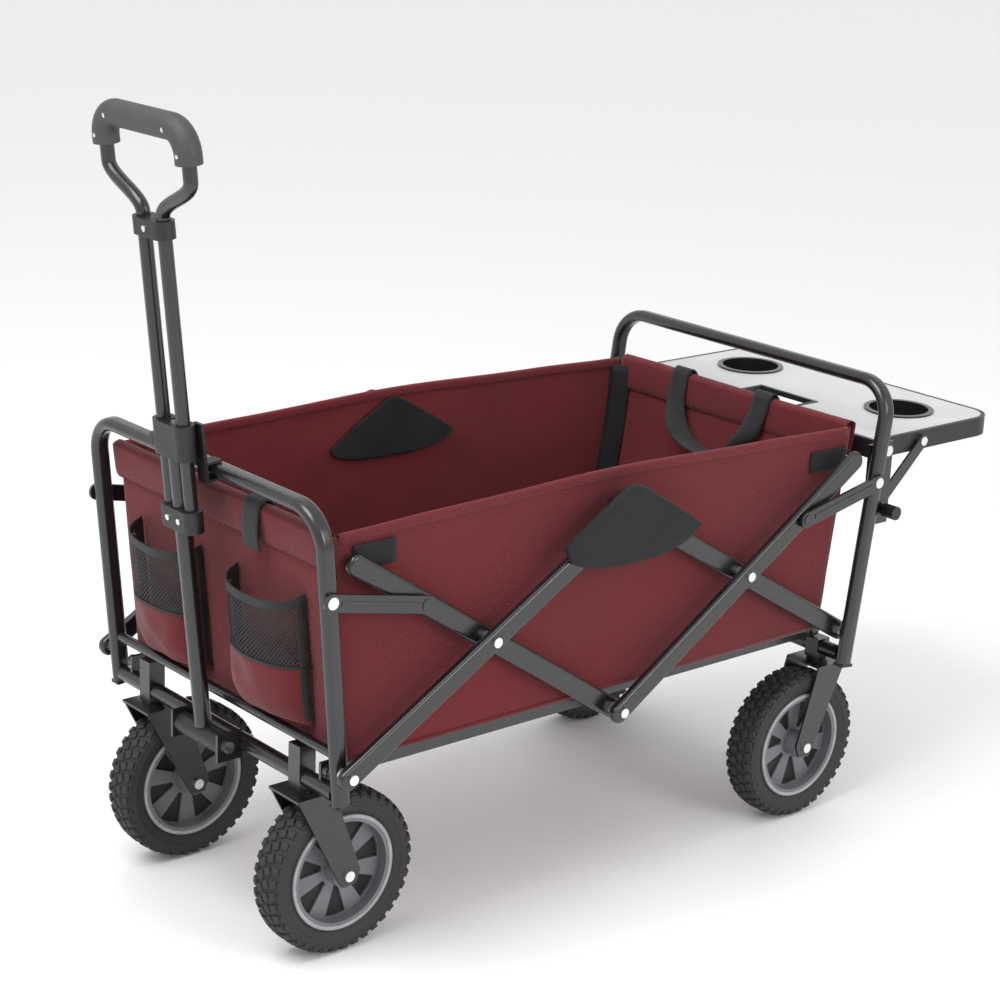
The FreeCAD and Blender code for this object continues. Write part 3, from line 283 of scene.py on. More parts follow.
figure = crossed(tree, "MULTIPLY", 150.0)
yarn = crossed(tree, "MAXIMUM", 520.0)
yarn_height = 0.25
feeds = {0: yarn, 1: yarn_height, 2: figure}
woven = put(tree, "ShaderNodeMath", feeds, operation="MULTIPLY_ADD").outputs["Value"]
faded = grain(tree, where, 7.0, 4.0)
# Maroon dye with painted shade: the diamond figure's grooves are coloured darker and its raised yarn lighter.
weave_dye_and_groove_shade = tints(tree, figure, (0.0, (0.115, 0.011, 0.0145)), (0.75, (0.2, 0.022, 0.0275)))
tone = tints(tree, faded, (0.3, (0.82, 0.82, 0.82)), (0.7, (1, 1, 1)))
dye_and_groove_shade = put(tree, "ShaderNodeMix", {0: 1.0, 6: weave_dye_and_groove_shade, 7: tone}, data_type="RGBA", blend_type="MULTIPLY")
tree.links.new(dye_and_groove_shade.outputs[2], shader.inputs["Base Color"])
tree.links.new(between(tree, faded, 0.78, 0.92), shader.inputs["Roughness"])
raised(tree, shader, woven, 0.55, 0.0009)
shader.inputs["Sheen Weight"].default_value = 0.18
shader.inputs["Sheen Roughness"].default_value = 0.4
shader.inputs["Specular IOR Level"].default_value = 0.3


def lay_weave(mesh):
    """Lays cloth on each face from the side that it faces, in metres."""
    layer = mesh.loops.layers.uv.new("weave")
    mesh.normal_update()
    for face in mesh.faces:
        facing = max(range(3), key=lambda axis: abs(face.normal[axis]))
        across, up = ((1, 2), (0, 2), (0, 1))[facing]
        for loop in face.loops:
            loop[layer].uv = (loop.vert.co[across], loop.vert.co[up])


def finished(name, mesh, finish, body, smooth=True):
    """Makes a piece from its mesh, with a finish, riding on a body."""
    data = bpy.data.meshes.new(name)
    mesh.to_mesh(data)
    mesh.free()
    data.materials.append(finish)
    for face in data.polygons:
        face.use_smooth = smooth
    piece = bpy.data.objects.new(name, data)
    bpy.context.scene.collection.objects.link(piece)
    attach(piece, body)
    return piece


def thicken(piece, thickness, offset=-1.0, rounds=0):
    """Gives cloth its thickness, and rounds it."""
    wall = piece.modifiers.new("cloth", "SOLIDIFY")
    wall.thickness = thickness
    wall.offset = offset
    if rounds:
        soft = piece.modifiers.new("soft", "SUBSURF")
        soft.levels = rounds
        soft.render_levels = rounds


def slice_up(mesh, axis, low, high, step):
    """Cuts a mesh across at even steps, so that it can bend."""
    count = round((high - low) / step)
    for index in range(1, count):
        place, facing = Vector((0, 0, 0)), Vector((0, 0, 0))
        place[axis] = low + (high - low) * index / count
        facing[axis] = 1
        everything = mesh.verts[:] + mesh.edges[:] + mesh.faces[:]
        bmesh.ops.bisect_plane(mesh, geom=everything, plane_co=place, plane_no=facing, dist=1e-5)


tub_low, tub_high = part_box("fabric_tub")
fold = next(joint for joint in frame["joints"] if joint["name"] == "fold")
middle_y = fold["pos_m"][1] - 0.403
base_front, base_rear = tub_low.y + 0.024, tub_high.y - 0.034
rim_z = tub_high.z


def wall_front(z):
    """Outer face of the front wall at a height."""
    return base_front + (tub_low.y - base_front) * (z - tub_low.z) / (rim_z - tub_low.z)


def wall_rear(z):
    """Outer face of the rear wall at a height."""
    return base_rear + (tub_high.y - base_rear) * (z - tub_low.z) / (rim_z - tub_low.z)


def hem_rise(y):
    """The long sides are held up a little over the middle pivots and dip towards their ends."""
    away = abs(y - middle_y)
    return 0.007 * math.exp(-(away / 0.17) ** 2) - 0.004 * ease(away, 0.25, 0.41)


def ease(value, start, end):
    """0 before start, 1 after end, smooth between."""
    share = min(1, max(0, (value - start) / (end - start)))
    return share * share * (3 - 2 * share)


shell = bmesh.new()
bmesh.ops.create_cube(shell, size=1)
bmesh.ops.scale(shell, vec=tub_high - tub_low, verts=shell.verts)
bmesh.ops.translate(shell, vec=(tub_high + tub_low) / 2, verts=shell.verts)
for vert in shell.verts:
    if vert.co.z < tub_low.z + 0.01:
        vert.co.y = base_front if vert.co.y < 0 else base_rear
lid = [face for face in shell.faces if face.calc_center_median().z > rim_z - 0.001]
bmesh.ops.delete(shell, geom=lid, context="FACES_ONLY")
uprights = [edge for edge in shell.edges if abs(edge.verts[0].co.z - edge.verts[1].co.z) > 0.1]
bmesh.ops.bevel(shell, geom=uprights, offset=0.014, segments=4, profile=0.5, affect="EDGES", material=-1)
foot = [edge for edge in shell.edges if all(vert.co.z < tub_low.z + 0.001 for vert in edge.verts)]
bmesh.ops.bevel(shell, geom=foot, offset=0.006, segments=2, profile=0.5, affect="EDGES", material=-1)
slice_up(shell, 1, tub_low.y, tub_high.y, 0.0165)
slice_up(shell, 0, tub_low.x, tub_high.x, 0.0165)
slice_up(shell, 2, tub_low.z, tub_high.z, 0.015)
lay_weave(shell)
half_wide = tub_high.x
for vert in shell.verts:
    x, y, z = vert.co
    height = (z - tub_low.z) / (rim_z - tub_low.z)
    # Cloth is free to sag away from the seam at its foot, and less so near its hem.
    free = ease(height, 0.0, 0.25) * (1 - 0.55 * ease(height, 0.8, 1.0))
    spot = Vector((y * 4.2, z * 5.5, x * 3.0))
    slack = 0.5 + 0.5 * noise.noise(spot + Vector((3.1, 0.7, 5.2)))
    ripple = noise.noise(spot * 2.6 + Vector((9, 2, 4)))
    if abs(x) > half_wide - 0.002:
        away = abs(y - middle_y)
        corner = ease(away, 0.25, 0.4) * 0.5
        near_pivot = math.exp(-((away - 0.1) / 0.09) ** 2)
        pull = math.sin((away * 1.1 + z * 1.4) * 42.0) * near_pivot * (0.3 + height)
        inward = (0.0045 * slack + 0.0016 * ripple) * free * (1 - corner) + 0.0011 * (1 + pull) * free
        vert.co.x -= math.copysign(inward, x)
        if z > rim_z - 0.001:
            vert.co.z += hem_rise(y)
    elif y < wall_front(z) + 0.002:
        vert.co.y += (0.002 * slack + 0.001 * ripple) * free
    elif y > wall_rear(z) - 0.002:
        sag = math.cos(x / half_wide * 1.5)
        vert.co.y -= (0.005 * slack * sag + 0.0015 * ripple) * free
cloth_tub = finished("cloth_tub", shell, maroon, "rear_frame")
thicken(cloth_tub, 0.0032, -1.0, 1)
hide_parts("fabric_tub")


def crumple(piece):
    """Gives the piece a mesh of its own."""
    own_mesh(piece)


crumple(cloth_tub)

# ---- Rolled hems ----------------------------------------------------------------------------
# The end walls' top edges are turned over a stiffener into rolls about a hand's breadth deep and
# sewn down with two rows of thread; the long sides have a narrow folded edge.


def sheet_through(across, along, place):
    """A strip of cloth: place(u, v) gives each point, with u and v from 0 to 1."""
    strip = bmesh.new()
    bmesh.ops.create_grid(strip, x_segments=across, y_segments=along, size=0.5)
    layer = strip.loops.layers.uv.new("weave")
    spots = {vert: (vert.co.x + 0.5, vert.co.y + 0.5) for vert in strip.verts}
    for vert, (u, v) in spots.items():
        vert.co = place(u, v)
    reach_u = sum((place(k / 2 + 0.5, 0.5) - place(k / 2, 0.5)).length for k in range(2))
    reach_v = sum((place(0.5, k / 8 + 0.125) - place(0.5, k / 8)).length for k in range(8))
    for face in strip.faces:
        for loop in face.loops:
            u, v = spots[loop.vert]
            loop[layer].uv = (u * reach_u, v * reach_v)
    return strip


def join_in(target, other):
    """Moves one mesh into another."""
    data = bpy.data.meshes.new("part")
    other.to_mesh(data)
    other.free()
    target.from_mesh(data)
    bpy.data.meshes.remove(data)


def end_hem(wall, outwards, seed):
    """A roll over the top of an end wall: out of its foot, round the top and down inside."""
    span = half_wide - 0.0075

    def place(u, v):
        x = -span + 2 * span * u
        turn = v * 2 - 1
        drop = 0.046 * abs(turn) ** 1.25
        puff = 0.0046 * (1 - abs(turn) ** 3) ** 0.5 + 0.0026
        pucker = 0.0011 * noise.noise(Vector((x * 24, turn * 3, seed))) * (1 - abs(turn) * 0.5)
        side = outwards if turn < 0 else -outwards
        z = rim_z + 0.0055 - drop - 0.0016 * abs(math.cos(x * 9 + seed)) * (1 - abs(turn))
        face = wall(min(z, rim_z)) - outwards * 0.0016
        grip = ease(abs(turn), 0.0, 0.14)
        return Vector((x, face + side * ((puff + 0.0016) * grip + pucker), z))

    return sheet_through(72, 26, place)


hems = end_hem(wall_front, -1, 1.0)
join_in(hems, end_hem(wall_rear, 1, 6.0))


def side_hem(side):
    """A narrow folded edge over a long side."""
    def place(u, v):
        y = tub_low.y + 0.012 + (tub_high.y - tub_low.y - 0.026) * u
        turn = v * 2 - 1
        z = rim_z + 0.0042 - 0.011 * abs(turn) ** 1.4 + hem_rise(y)
        spot = Vector((y * 4.2, rim_z * 5.5, side * half_wide * 3)) + Vector((3.1, 0.7, 5.2))
        slack = 0.5 + 0.5 * noise.noise(spot)
        inward = 0.0045 * slack * 0.45 + 0.0008
        grip = ease(abs(turn), 0, 0.3)
        x = side * (half_wide - inward - 0.0016) + math.copysign(0.0029, turn * side) * grip
        return Vector((x, y, z))
    return sheet_through(110, 10, place)


join_in(hems, side_hem(1))
join_in(hems, side_hem(-1))
bmesh.ops.recalc_face_normals(hems, faces=hems.faces)
tub_hems = finished("tub_hems", hems, maroon, "rear_frame")
thicken(tub_hems, 0.0012, 0.0)
crumple(tub_hems)

# ---- Bottom piping --------------------------------------------------------------------------
# A soft maroon piping closes the seam between the side panels and the floor panel. It runs all
# round the foot of the tub, with its corners cut across.

piping_radius = 0.0026
piping = bmesh.new()
outline = [
    (half_wide - 0.001, base_front + 0.012), (half_wide - 0.001, base_rear - 0.012),
    (half_wide - 0.012, base_rear), (-half_wide + 0.012, base_rear),
    (-half_wide + 0.001, base_rear - 0.012), (-half_wide + 0.001, base_front + 0.012),
    (-half_wide + 0.012, base_front), (half_wide - 0.012, base_front),
]
for index, (x, y) in enumerate(outline):
    next_x, next_y = outline[(index + 1) % len(outline)]
    run = Vector((next_x - x, next_y - y, 0))
    turn = run.to_track_quat("Z", "Y").to_matrix().to_4x4()
    centre = Matrix.Translation(((x + next_x) / 2, (y + next_y) / 2, tub_low.z + 0.0045)) @ turn
    bmesh.ops.create_cone(piping, segments=10, radius1=piping_radius, radius2=piping_radius,
                          depth=run.length + 0.001, cap_ends=True, matrix=centre)
lay_weave(piping)
tub_piping = finished("tub_piping", piping, maroon, "rear_frame")
crumple(tub_piping)

# ---- Stitching ------------------------------------------------------------------------------
# Dark red lockstitch thread: two rows along the foot of each rolled hem, inside and outside, hold
# the roll down on the end walls.

thread_red, tree, shader, where = finish_named("thread_red", (0.11, 0.012, 0.016), 0.7)
twist = grain(tree, where, 900.0, 1.0)
mottled(tree, shader, twist, (0.09, 0.009, 0.012), (0.17, 0.02, 0.026))
raised(tree, shader, twist, 0.2, 0.0003)


def sew(mesh, start, end, facing, pitch=0.0052):
    """A row of stitches from start to end, lying on a surface that faces a given way."""
    start, end = Vector(start), Vector(end)
    count = max(1, int((end - start).length / pitch))
    along = (end - start).normalized()
    out = Vector(facing).normalized()
    side = out.cross(along).normalized()
    turn = Matrix((along, side, out)).transposed().to_4x4()
    size = Matrix.Diagonal((pitch * 0.62, 0.0009, 0.0008, 1))
    for index in range(count):
        spot = start.lerp(end, (index + 0.5) / count)
        bmesh.ops.create_cube(mesh, size=1, matrix=Matrix.Translation(spot) @ turn @ size)


stitches = bmesh.new()
reach = half_wide - 0.011
upper_row, lower_row = 0.0395, 0.0455
for drop in (upper_row, lower_row):
    z = rim_z + 0.0055 - drop
    outside = wall_front(z) - 0.0052 + (drop - upper_row) * 0.25
    for y, facing in (
        (outside, -1), (wall_front(z) + 0.0044, 1), (wall_rear(z) - 0.0068, -1), (wall_rear(z) + 0.0044, 1),
    ):
        sew(stitches, (-reach, y, z), (reach, y, z), (0, facing, 0))
tub_stitches = finished("tub_stitches", stitches, thread_red, "rear_frame", smooth=False)
crumple(tub_stitches)

# ---- Padded floor mat -----------------------------------------------------------------------
# A thin foam mat in the same cloth lies loose on the tub floor, quilted across in four panels so
# that it folds up with the wagon.

mat_low, mat_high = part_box("floor_mat")
mat_mesh = bmesh.new()
bmesh.ops.create_cube(mat_mesh, size=1)
mat_size = mat_high - mat_low
mat_vec = (mat_size.x - 0.008, mat_size.y - 0.008, mat_size.z - 0.0045)
bmesh.ops.scale(mat_mesh, vec=mat_vec, verts=mat_mesh.verts)
bmesh.ops.translate(mat_mesh, vec=(mat_high + mat_low) / 2, verts=mat_mesh.verts)
mat_corners = [edge for edge in mat_mesh.edges if abs(edge.verts[0].co.z - edge.verts[1].co.z) > 0.003]
bmesh.ops.bevel(mat_mesh, geom=mat_corners, offset=0.02, segments=4, profile=0.5, affect="EDGES", material=-1)
floor_pad = finished("floor_pad", mat_mesh, maroon, "rear_frame")


def applied(piece):
    """Makes the shape that the modifiers give the piece's own mesh."""
    shown = piece.evaluated_get(bpy.context.evaluated_depsgraph_get())
    data = bpy.data.meshes.new_from_object(shown)
    piece.modifiers.clear()
    piece.data = data


remesh = floor_pad.modifiers.new("even", "REMESH")
remesh.mode = "VOXEL"
remesh.voxel_size = 0.0058
applied(floor_pad)
resting = [vert.co.copy() for vert in floor_pad.data.vertices]
last_moment = 14
blown = floor_pad.modifiers.new("stuffing", "CLOTH")
blown.settings.use_pressure = True
blown.settings.uniform_pressure_force = 4
blown.settings.effector_weights.gravity = 0
blown.settings.quality = 4
for moment in range(1, last_moment + 1):
    bpy.context.scene.frame_set(moment)
applied(floor_pad)
bpy.context.scene.frame_set(1)
panel = mat_size.y / 4
most_puff = 0.003
middle_height = (mat_low.z + mat_high.z) / 2
for vert, was in zip(floor_pad.data.vertices, resting):
    moved = vert.co - was
    if moved.length > most_puff:
        vert.co = was + moved * (most_puff / moved.length)
    seam = min(abs(vert.co.y - (mat_low.y + panel * k)) for k in (1, 2, 3))
    dip = 0.0032 * math.exp(-(seam / 0.006) ** 2)
    vert.co.z += -dip if vert.co.z > middle_height else dip * 0.3
    vert.co.z = min(max(vert.co.z, mat_low.z + 0.0001), mat_high.z + 0.0015)
pad_mesh = bmesh.new()
pad_mesh.from_mesh(floor_pad.data)
lay_weave(pad_mesh)
pad_mesh.to_mesh(floor_pad.data)
pad_mesh.free()
for face in floor_pad.data.polygons:
    face.use_smooth = True
floor_pad.data.materials.clear()
floor_pad.data.materials.append(maroon)
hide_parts("floor_mat")
crumple(floor_pad)

# ---- Black patches --------------------------------------------------------------------------
# Tough black cloth is sewn over the upper middle pivots, outside and inside, to keep the frame
# from chafing the tub. Small tabs back the ends of the side edges, binding the inner corners.

black_cloth, tree, shader, where = finish_named("black_cloth", (0.02, 0.02, 0.021), 0.78)
fine_weave = crossed(tree, "MULTIPLY", 300.0)
dusty = grain(tree, where, 20.0)
mottled(tree, shader, dusty, (0.006, 0.006, 0.0065), (0.013, 0.013, 0.0135), (0.62, 0.82))
raised(tree, shader, fine_weave, 0.4, 0.0006)
shader.inputs["Sheen Weight"].default_value = 0.04
shader.inputs["Specular IOR Level"].default_value = 0.3


def half_moon(u, top, shoulder, low):
    """Edge heights of a half-moon patch at a share u of its width: (upper, lower)."""
    off = abs(2 * u - 1)
    upper = top - (top - shoulder) * off ** 1.12 - 0.002 * math.exp(-(off / 0.06) ** 2)
    lower = low + (shoulder - low) * (1 - math.sqrt(max(0, 1 - off ** 2.2)))
    return upper, min(lower, upper)


def patch(side, plane, top, shoulder, low, half, round_over, seed):
    """One patch on a side of the tub; round_over is how far its upper edge turns back inwards."""
    flat_share = 0.86

    def place(u, v):
        y = middle_y - half + 2 * half * u
        upper, lower = half_moon(u, top, shoulder, low)
        z = lower + (upper - lower) * min(1, v / flat_share)
        lip = max(0, (v - flat_share) / (1 - flat_share))
        z += 0.0025 * math.sin(lip * math.pi * 0.7)
        sag = 0.0012 * noise.noise(Vector((y * 14, z * 16, seed)))
        x = plane + sag - round_over * lip
        x -= 0.004 * (1 - ease(v, 0.0, 0.25)) if round_over else 0
        return Vector((side * x, y, z))
    return sheet_through(34, 22, place)


for side, word in ((1, "left"), (-1, "right")):
    outer = patch(side, 0.2612, rim_z - 0.0005, rim_z - 0.065, rim_z - 0.096, 0.106, 0.01, side * 2.0)
    bmesh.ops.recalc_face_normals(outer, faces=outer.faces)
    outer_patch = finished("pivot_patch_" + word, outer, black_cloth, "rear_frame")
    thicken(outer_patch, 0.0014, 0.0)
    crumple(outer_patch)

inner = bmesh.new()
for side, seed in ((1, 3.0), (-1, 4.0)):
    join_in(inner, patch(side, half_wide - 0.0125, rim_z + 0.001, rim_z - 0.058, rim_z - 0.079, 0.1, 0, seed))
bmesh.ops.recalc_face_normals(inner, faces=inner.faces)
inner_patches = finished("inner_patches", inner, black_cloth, "rear_frame")
thicken(inner_patches, 0.0014, 0.0)
crumple(inner_patches)


def side_tab(side, low_y, high_y, low_z, high_z):
    """A small tab that backs the end of a side edge."""
    def place(u, v):
        x = half_wide + 0.0006 + 0.0003 * math.sin(u * 9)
        return Vector((side * x, low_y + (high_y - low_y) * u, low_z + (high_z - low_z) * v))
    return sheet_through(10, 6, place)


def corner_binding(side, wall, inwards):
    """Black binding up an inner corner of the tub."""
    def place(u, v):
        z = tub_low.z + 0.02 + (rim_z - 0.028 - tub_low.z) * v
        fold = 0.0015 * math.sin(v * 7)
        x = half_wide - 0.006 - 0.02 * (1 - u)
        y = wall(z) + inwards * (0.0065 + 0.02 * u ** 1.5 + fold)
        return Vector((side * (x - 0.004 * math.sin(u * math.pi)), y, z))
    return sheet_through(6, 24, place)


tabs = bmesh.new()
for side in (1, -1):
    join_in(tabs, side_tab(side, tub_low.y + 0.03, tub_low.y + 0.088, rim_z - 0.043, rim_z - 0.015))
    join_in(tabs, side_tab(side, tub_high.y - 0.082, tub_high.y - 0.018, rim_z - 0.05, rim_z - 0.023))
for wall, inwards in ((wall_front, 1), (wall_rear, -1)):
    for side in (1, -1):
        join_in(tabs, corner_binding(side, wall, inwards))
bmesh.ops.recalc_face_normals(tabs, faces=tabs.faces)
tub_tabs = finished("tub_tabs", tabs, black_cloth, "rear_frame")
thicken(tub_tabs, 0.0014, 0.0)
crumple(tub_tabs)

# ---- Webbing loops --------------------------------------------------------------------------
# Black polyester webbing: a pull loop droops inside the rear wall from two points on its hem, and
# a short strap is folded over the front hem. Lifting the floor strap folds the real wagon.

webbing, tree, shader, where = finish_named("black_webbing", (0.022, 0.022, 0.023), 0.7)
ribs = crossed(tree, "MAXIMUM", 230.0)
worn = grain(tree, where, 35.0)
mottled(tree, shader, worn, (0.01, 0.01, 0.0105), (0.022, 0.022, 0.0225), (0.55, 0.75))
raised(tree, shader, ribs, 0.6, 0.0009)
shader.inputs["Sheen Weight"].default_value = 0.08
shader.inputs["Specular IOR Level"].default_value = 0.35


def along_points(points, t):
    """A smooth place on a line through points; each point is a tuple of numbers."""
    span = t * (len(points) - 1)
    index = min(int(span), len(points) - 2)
    s = span - index
    a, b = points[max(index - 1, 0)], points[index]
    c, d = points[index + 1], points[min(index + 2, len(points) - 1)]
    spot = []
    for p, q, r, w in zip(a, b, c, d):
        bend, swing = 2 * p - 5 * q + 4 * r - w, 3 * q - p - 3 * r + w
        spot.append(0.5 * (2 * q + (r - p) * s + bend * s * s + swing * s ** 3))
    return spot


def strap(stations, wide, count):
    """A flat strap through stations (x, y, z, twist): twist 0 is wide across, 1 wide fore and aft."""
    def place(u, v):
        x, y, z, twist = along_points(stations, v)
        angle = min(1, max(0, twist)) * math.pi / 2
        across = Vector((math.cos(angle), math.sin(angle), 0))
        return Vector((x, y, z)) + across * (u - 0.5) * wide
    return sheet_through(6, count, place)


over_hem = rim_z + 0.0098
strap_wide = 0.03
rear_in, rear_out = wall_rear(rim_z) - 0.0138, wall_rear(rim_z) + 0.0108
rear_middle = (rear_in + rear_out) / 2
straps = strap([
    (-0.088, rear_out, rim_z - 0.04, 0), (-0.089, rear_out, rim_z - 0.012, 0),
    (-0.09, rear_middle, over_hem, 0), (-0.091, rear_in + 0.0022, rim_z + 0.0055, 0),
    (-0.092, rear_in - 0.0005, rim_z - 0.01, 0), (-0.09, rear_in - 0.006, rim_z - 0.036, 0.06),
    (-0.076, rear_in - 0.016, rim_z - 0.062, 0.45), (-0.045, rear_in - 0.024, rim_z - 0.079, 0.9),
    (-0.005, rear_in - 0.027, rim_z - 0.084, 1), (0.03, rear_in - 0.023, rim_z - 0.075, 0.85),
    (0.05, rear_in - 0.014, rim_z - 0.052, 0.4), (0.058, rear_in - 0.005, rim_z - 0.028, 0.05),
    (0.062, rear_in - 0.0005, rim_z - 0.008, 0), (0.063, rear_in + 0.0022, rim_z + 0.0055, 0),
    (0.064, rear_middle, over_hem, 0), (0.065, rear_out, rim_z - 0.012, 0),
    (0.065, rear_out, rim_z - 0.04, 0),
], strap_wide, 110)
front_out, front_in = wall_front(rim_z) - 0.0122, wall_front(rim_z) + 0.0112
join_in(straps, strap([
    (0.088, front_out + 0.002, rim_z - 0.047, 0), (0.087, front_out - 0.0005, rim_z - 0.03, 0),
    (0.086, front_out, rim_z - 0.01, 0), (0.086, front_out + 0.0026, rim_z + 0.0055, 0),
    (0.086, (front_in + front_out) / 2, over_hem, 0), (0.086, front_in - 0.0026, rim_z + 0.0055, 0),
    (0.086, front_in, rim_z - 0.01, 0), (0.086, front_in - 0.001, rim_z - 0.04, 0),
], strap_wide, 50))
bmesh.ops.recalc_face_normals(straps, faces=straps.faces)
pull_webbing = finished("pull_webbing", straps, webbing, "rear_frame")
thicken(pull_webbing, 0.0018, 0.0)
crumple(pull_webbing)

# ---- Bottle pockets -------------------------------------------------------------------------
# Two pouches are sewn on the front wall: a maroon foot, black net above it that holds its shape,
# a folded black binding at the mouth and narrow black edges down the sides.

pocket_low, pocket_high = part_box("front_pockets")
mouth_z, foot_z, band_z = pocket_high.z + 0.003, pocket_low.z + 0.003, pocket_low.z + 0.072
inner_x, outer_x = 0.037, pocket_high.x
depth = wall_front(pocket_high.z) - pocket_low.y - 0.0005


def pouch(side, u, z, proud=0.0):
    """A point on a pocket's front: u from its inner to its outer edge, z its height at the sides."""
    height = (z - foot_z) / (mouth_z - foot_z)
    belly = math.sin(math.pi * min(1, max(0, u))) ** 0.42
    swell = ease(height, -0.3, 0.16) * (1 - 0.06 * ease(height, 0.5, 1.0))
    flare = 0.007 * math.sin(2 * math.pi * u) * swell
    x = inner_x + (outer_x - inner_x) * u - flare
    crease = noise.noise(Vector((side * x * 26, z * 30, 1.5)))
    rumple = 0.005 * (1 - ease(height, 0.1, 0.6)) * crease + 0.002 * crease
    out = (depth - 0.003) * belly * swell + rumple * belly + 0.0012 + proud
    drop = 0.012 * belly * ease(height, 0.5, 1.0) - 0.004 * belly * (1 - ease(height, 0.0, 0.3))
    return Vector((side * x, wall_front(z - drop) - out, z - drop))


def pouch_strip(side, across, along, span, heights, proud=0.0):
    """A strip of a pouch between two shares of its width and two heights."""
    def place(u, v):
        share = span[0] + (span[1] - span[0]) * u
        return pouch(side, share, heights[0] + (heights[1] - heights[0]) * v, proud)
    return sheet_through(across, along, place)


def underside(side):
    """The cloth that closes a pouch below, from its front back to the wall."""
    def place(u, v):
        edge = pouch(side, u, foot_z)
        y = edge.y * (1 - v) + (wall_front(foot_z) - 0.001) * v
        return Vector((edge.x, y, edge.z - 0.0035 * math.sin(v * math.pi) ** 0.8))
    return sheet_through(40, 6, place)


feet = bmesh.new()
bindings = bmesh.new()
nets = bmesh.new()
for side in (1, -1):
    join_in(feet, pouch_strip(side, 40, 20, (0, 1), (foot_z, band_z)))
    join_in(feet, underside(side))
    join_in(bindings, pouch_strip(side, 40, 5, (0, 1), (mouth_z - 0.011, mouth_z), 0.0009))
    join_in(bindings, pouch_strip(side, 40, 2, (0, 1), (band_z - 0.0015, band_z + 0.0015), 0.0006))
    for inner_edge in (0.0, 0.978):
        span = (inner_edge, inner_edge + 0.022)
        join_in(bindings, pouch_strip(side, 3, 24, span, (foot_z + 0.004, mouth_z - 0.002), 0.0012))
    # Poked square cells without their old edges leave diamonds, which become the net's cords.
    net = bmesh.new()
    bmesh.ops.create_grid(net, x_segments=30, y_segments=13, size=0.5)
    square_edges = [edge for edge in net.edges if len(edge.link_faces) == 2]
    bmesh.ops.poke(net, faces=net.faces[:])
    bmesh.ops.dissolve_edges(net, edges=square_edges, use_verts=False)
    for vert in net.verts:
        height = band_z + (mouth_z - 0.007 - band_z) * (vert.co.y + 0.5)
        vert.co = pouch(side, vert.co.x + 0.5, height)
    bmesh.ops.wireframe(net, faces=net.faces[:], thickness=0.0015, use_replace=True, use_boundary=True,
                        use_even_offset=True)
    join_in(nets, net)
bmesh.ops.recalc_face_normals(feet, faces=feet.faces)
bmesh.ops.recalc_face_normals(bindings, faces=bindings.faces)
pocket_feet = finished("pocket_feet", feet, maroon, "front_frame")
thicken(pocket_feet, 0.0012, 0.0)
pocket_bindings = finished("pocket_bindings", bindings, webbing, "front_frame")
thicken(pocket_bindings, 0.0014, 0.0)

net_cord, tree, shader, where = finish_named("net_cord", (0.012, 0.012, 0.013), 0.6)
spun = grain(tree, where, 60.0)
mottled(tree, shader, spun, (0.004, 0.004, 0.0045), (0.01, 0.01, 0.0105))
raised(tree, shader, grain(tree, where, 1500.0, 1.0), 0.3, 0.0003)
pocket_nets = finished("pocket_nets", nets, net_cord, "front_frame", smooth=False)
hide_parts("front_pockets")

# ---- Tyres ----------------------------------------------------------------------------------
# Foamed rubber tyres with blocky all-terrain tread: two staggered rows of crown blocks and a row
# of shoulder lugs on each side that bite round on to the side wall.

rubber, tree, shader, where = finish_named("tyre_rubber", (0.028, 0.028, 0.029), 0.72)
dull = grain(tree, where, 24.0)
mottled(tree, shader, dull, (0.015, 0.015, 0.0155), (0.028, 0.028, 0.0285), (0.6, 0.8))
raised(tree, shader, grain(tree, where, 900.0, 2.0), 0.25, 0.0005)

tyre_low, tyre_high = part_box("front_tyre_left")
tyre_radius = (tyre_high.z - tyre_low.z) / 2
tyre_half = (tyre_high.x - tyre_low.x) / 2
tyre = bmesh.new()
section = [
    (0.0, 0.0715), (0.0172, 0.0712), (0.0185, 0.0735), (0.0203, 0.0775), (0.0219, 0.0835),
    (0.0223, 0.0838), (0.0225, 0.0868), (0.0221, 0.0871), (0.0215, 0.0905), (0.0192, 0.0946),
    (0.0125, 0.0968), (0.0, 0.0974),
]
whole_section = section + [(-x, r) for x, r in section[-2:0:-1]]


def turn_round(mesh, outline, steps):
    """Turns a closed outline of (across, radius) once round the wheel's axle."""
    corners = [mesh.verts.new((x, 0, r)) for x, r in outline]
    last = len(corners)
    edges = [mesh.edges.new((corners[k], corners[(k + 1) % last])) for k in range(last)]
    bmesh.ops.spin(mesh, geom=corners + edges, cent=(0, 0, 0), axis=(1, 0, 0), dvec=(0, 0, 0),
                   angle=2 * math.pi, steps=steps, use_merge=True)


turn_round(tyre, [(x * tyre_half / 0.023, r * tyre_radius / 0.1) for x, r in whole_section], 80)
bmesh.ops.remove_doubles(tyre, verts=tyre.verts, dist=1e-5)
bmesh.ops.recalc_face_normals(tyre, faces=tyre.faces)


def lug(mesh, angle, across, out, size, skew, lean):
    """One tread block: its place round and across the tyre, its size and how it is turned."""
    block = bmesh.ops.create_cube(mesh, size=1)["verts"]
    for vert in block:
        if vert.co.z > 0:
            vert.co.x *= 0.84
            vert.co.y *= 0.84
    matrix = (
        Matrix.Rotation(angle, 4, "X") @ Matrix.Translation((across, 0, out))
        @ Matrix.Rotation(lean, 4, "Y") @ Matrix.Rotation(skew, 4, "Z") @ Matrix.Diagonal((*size, 1))
    )
    bmesh.ops.transform(mesh, matrix=matrix, verts=block)


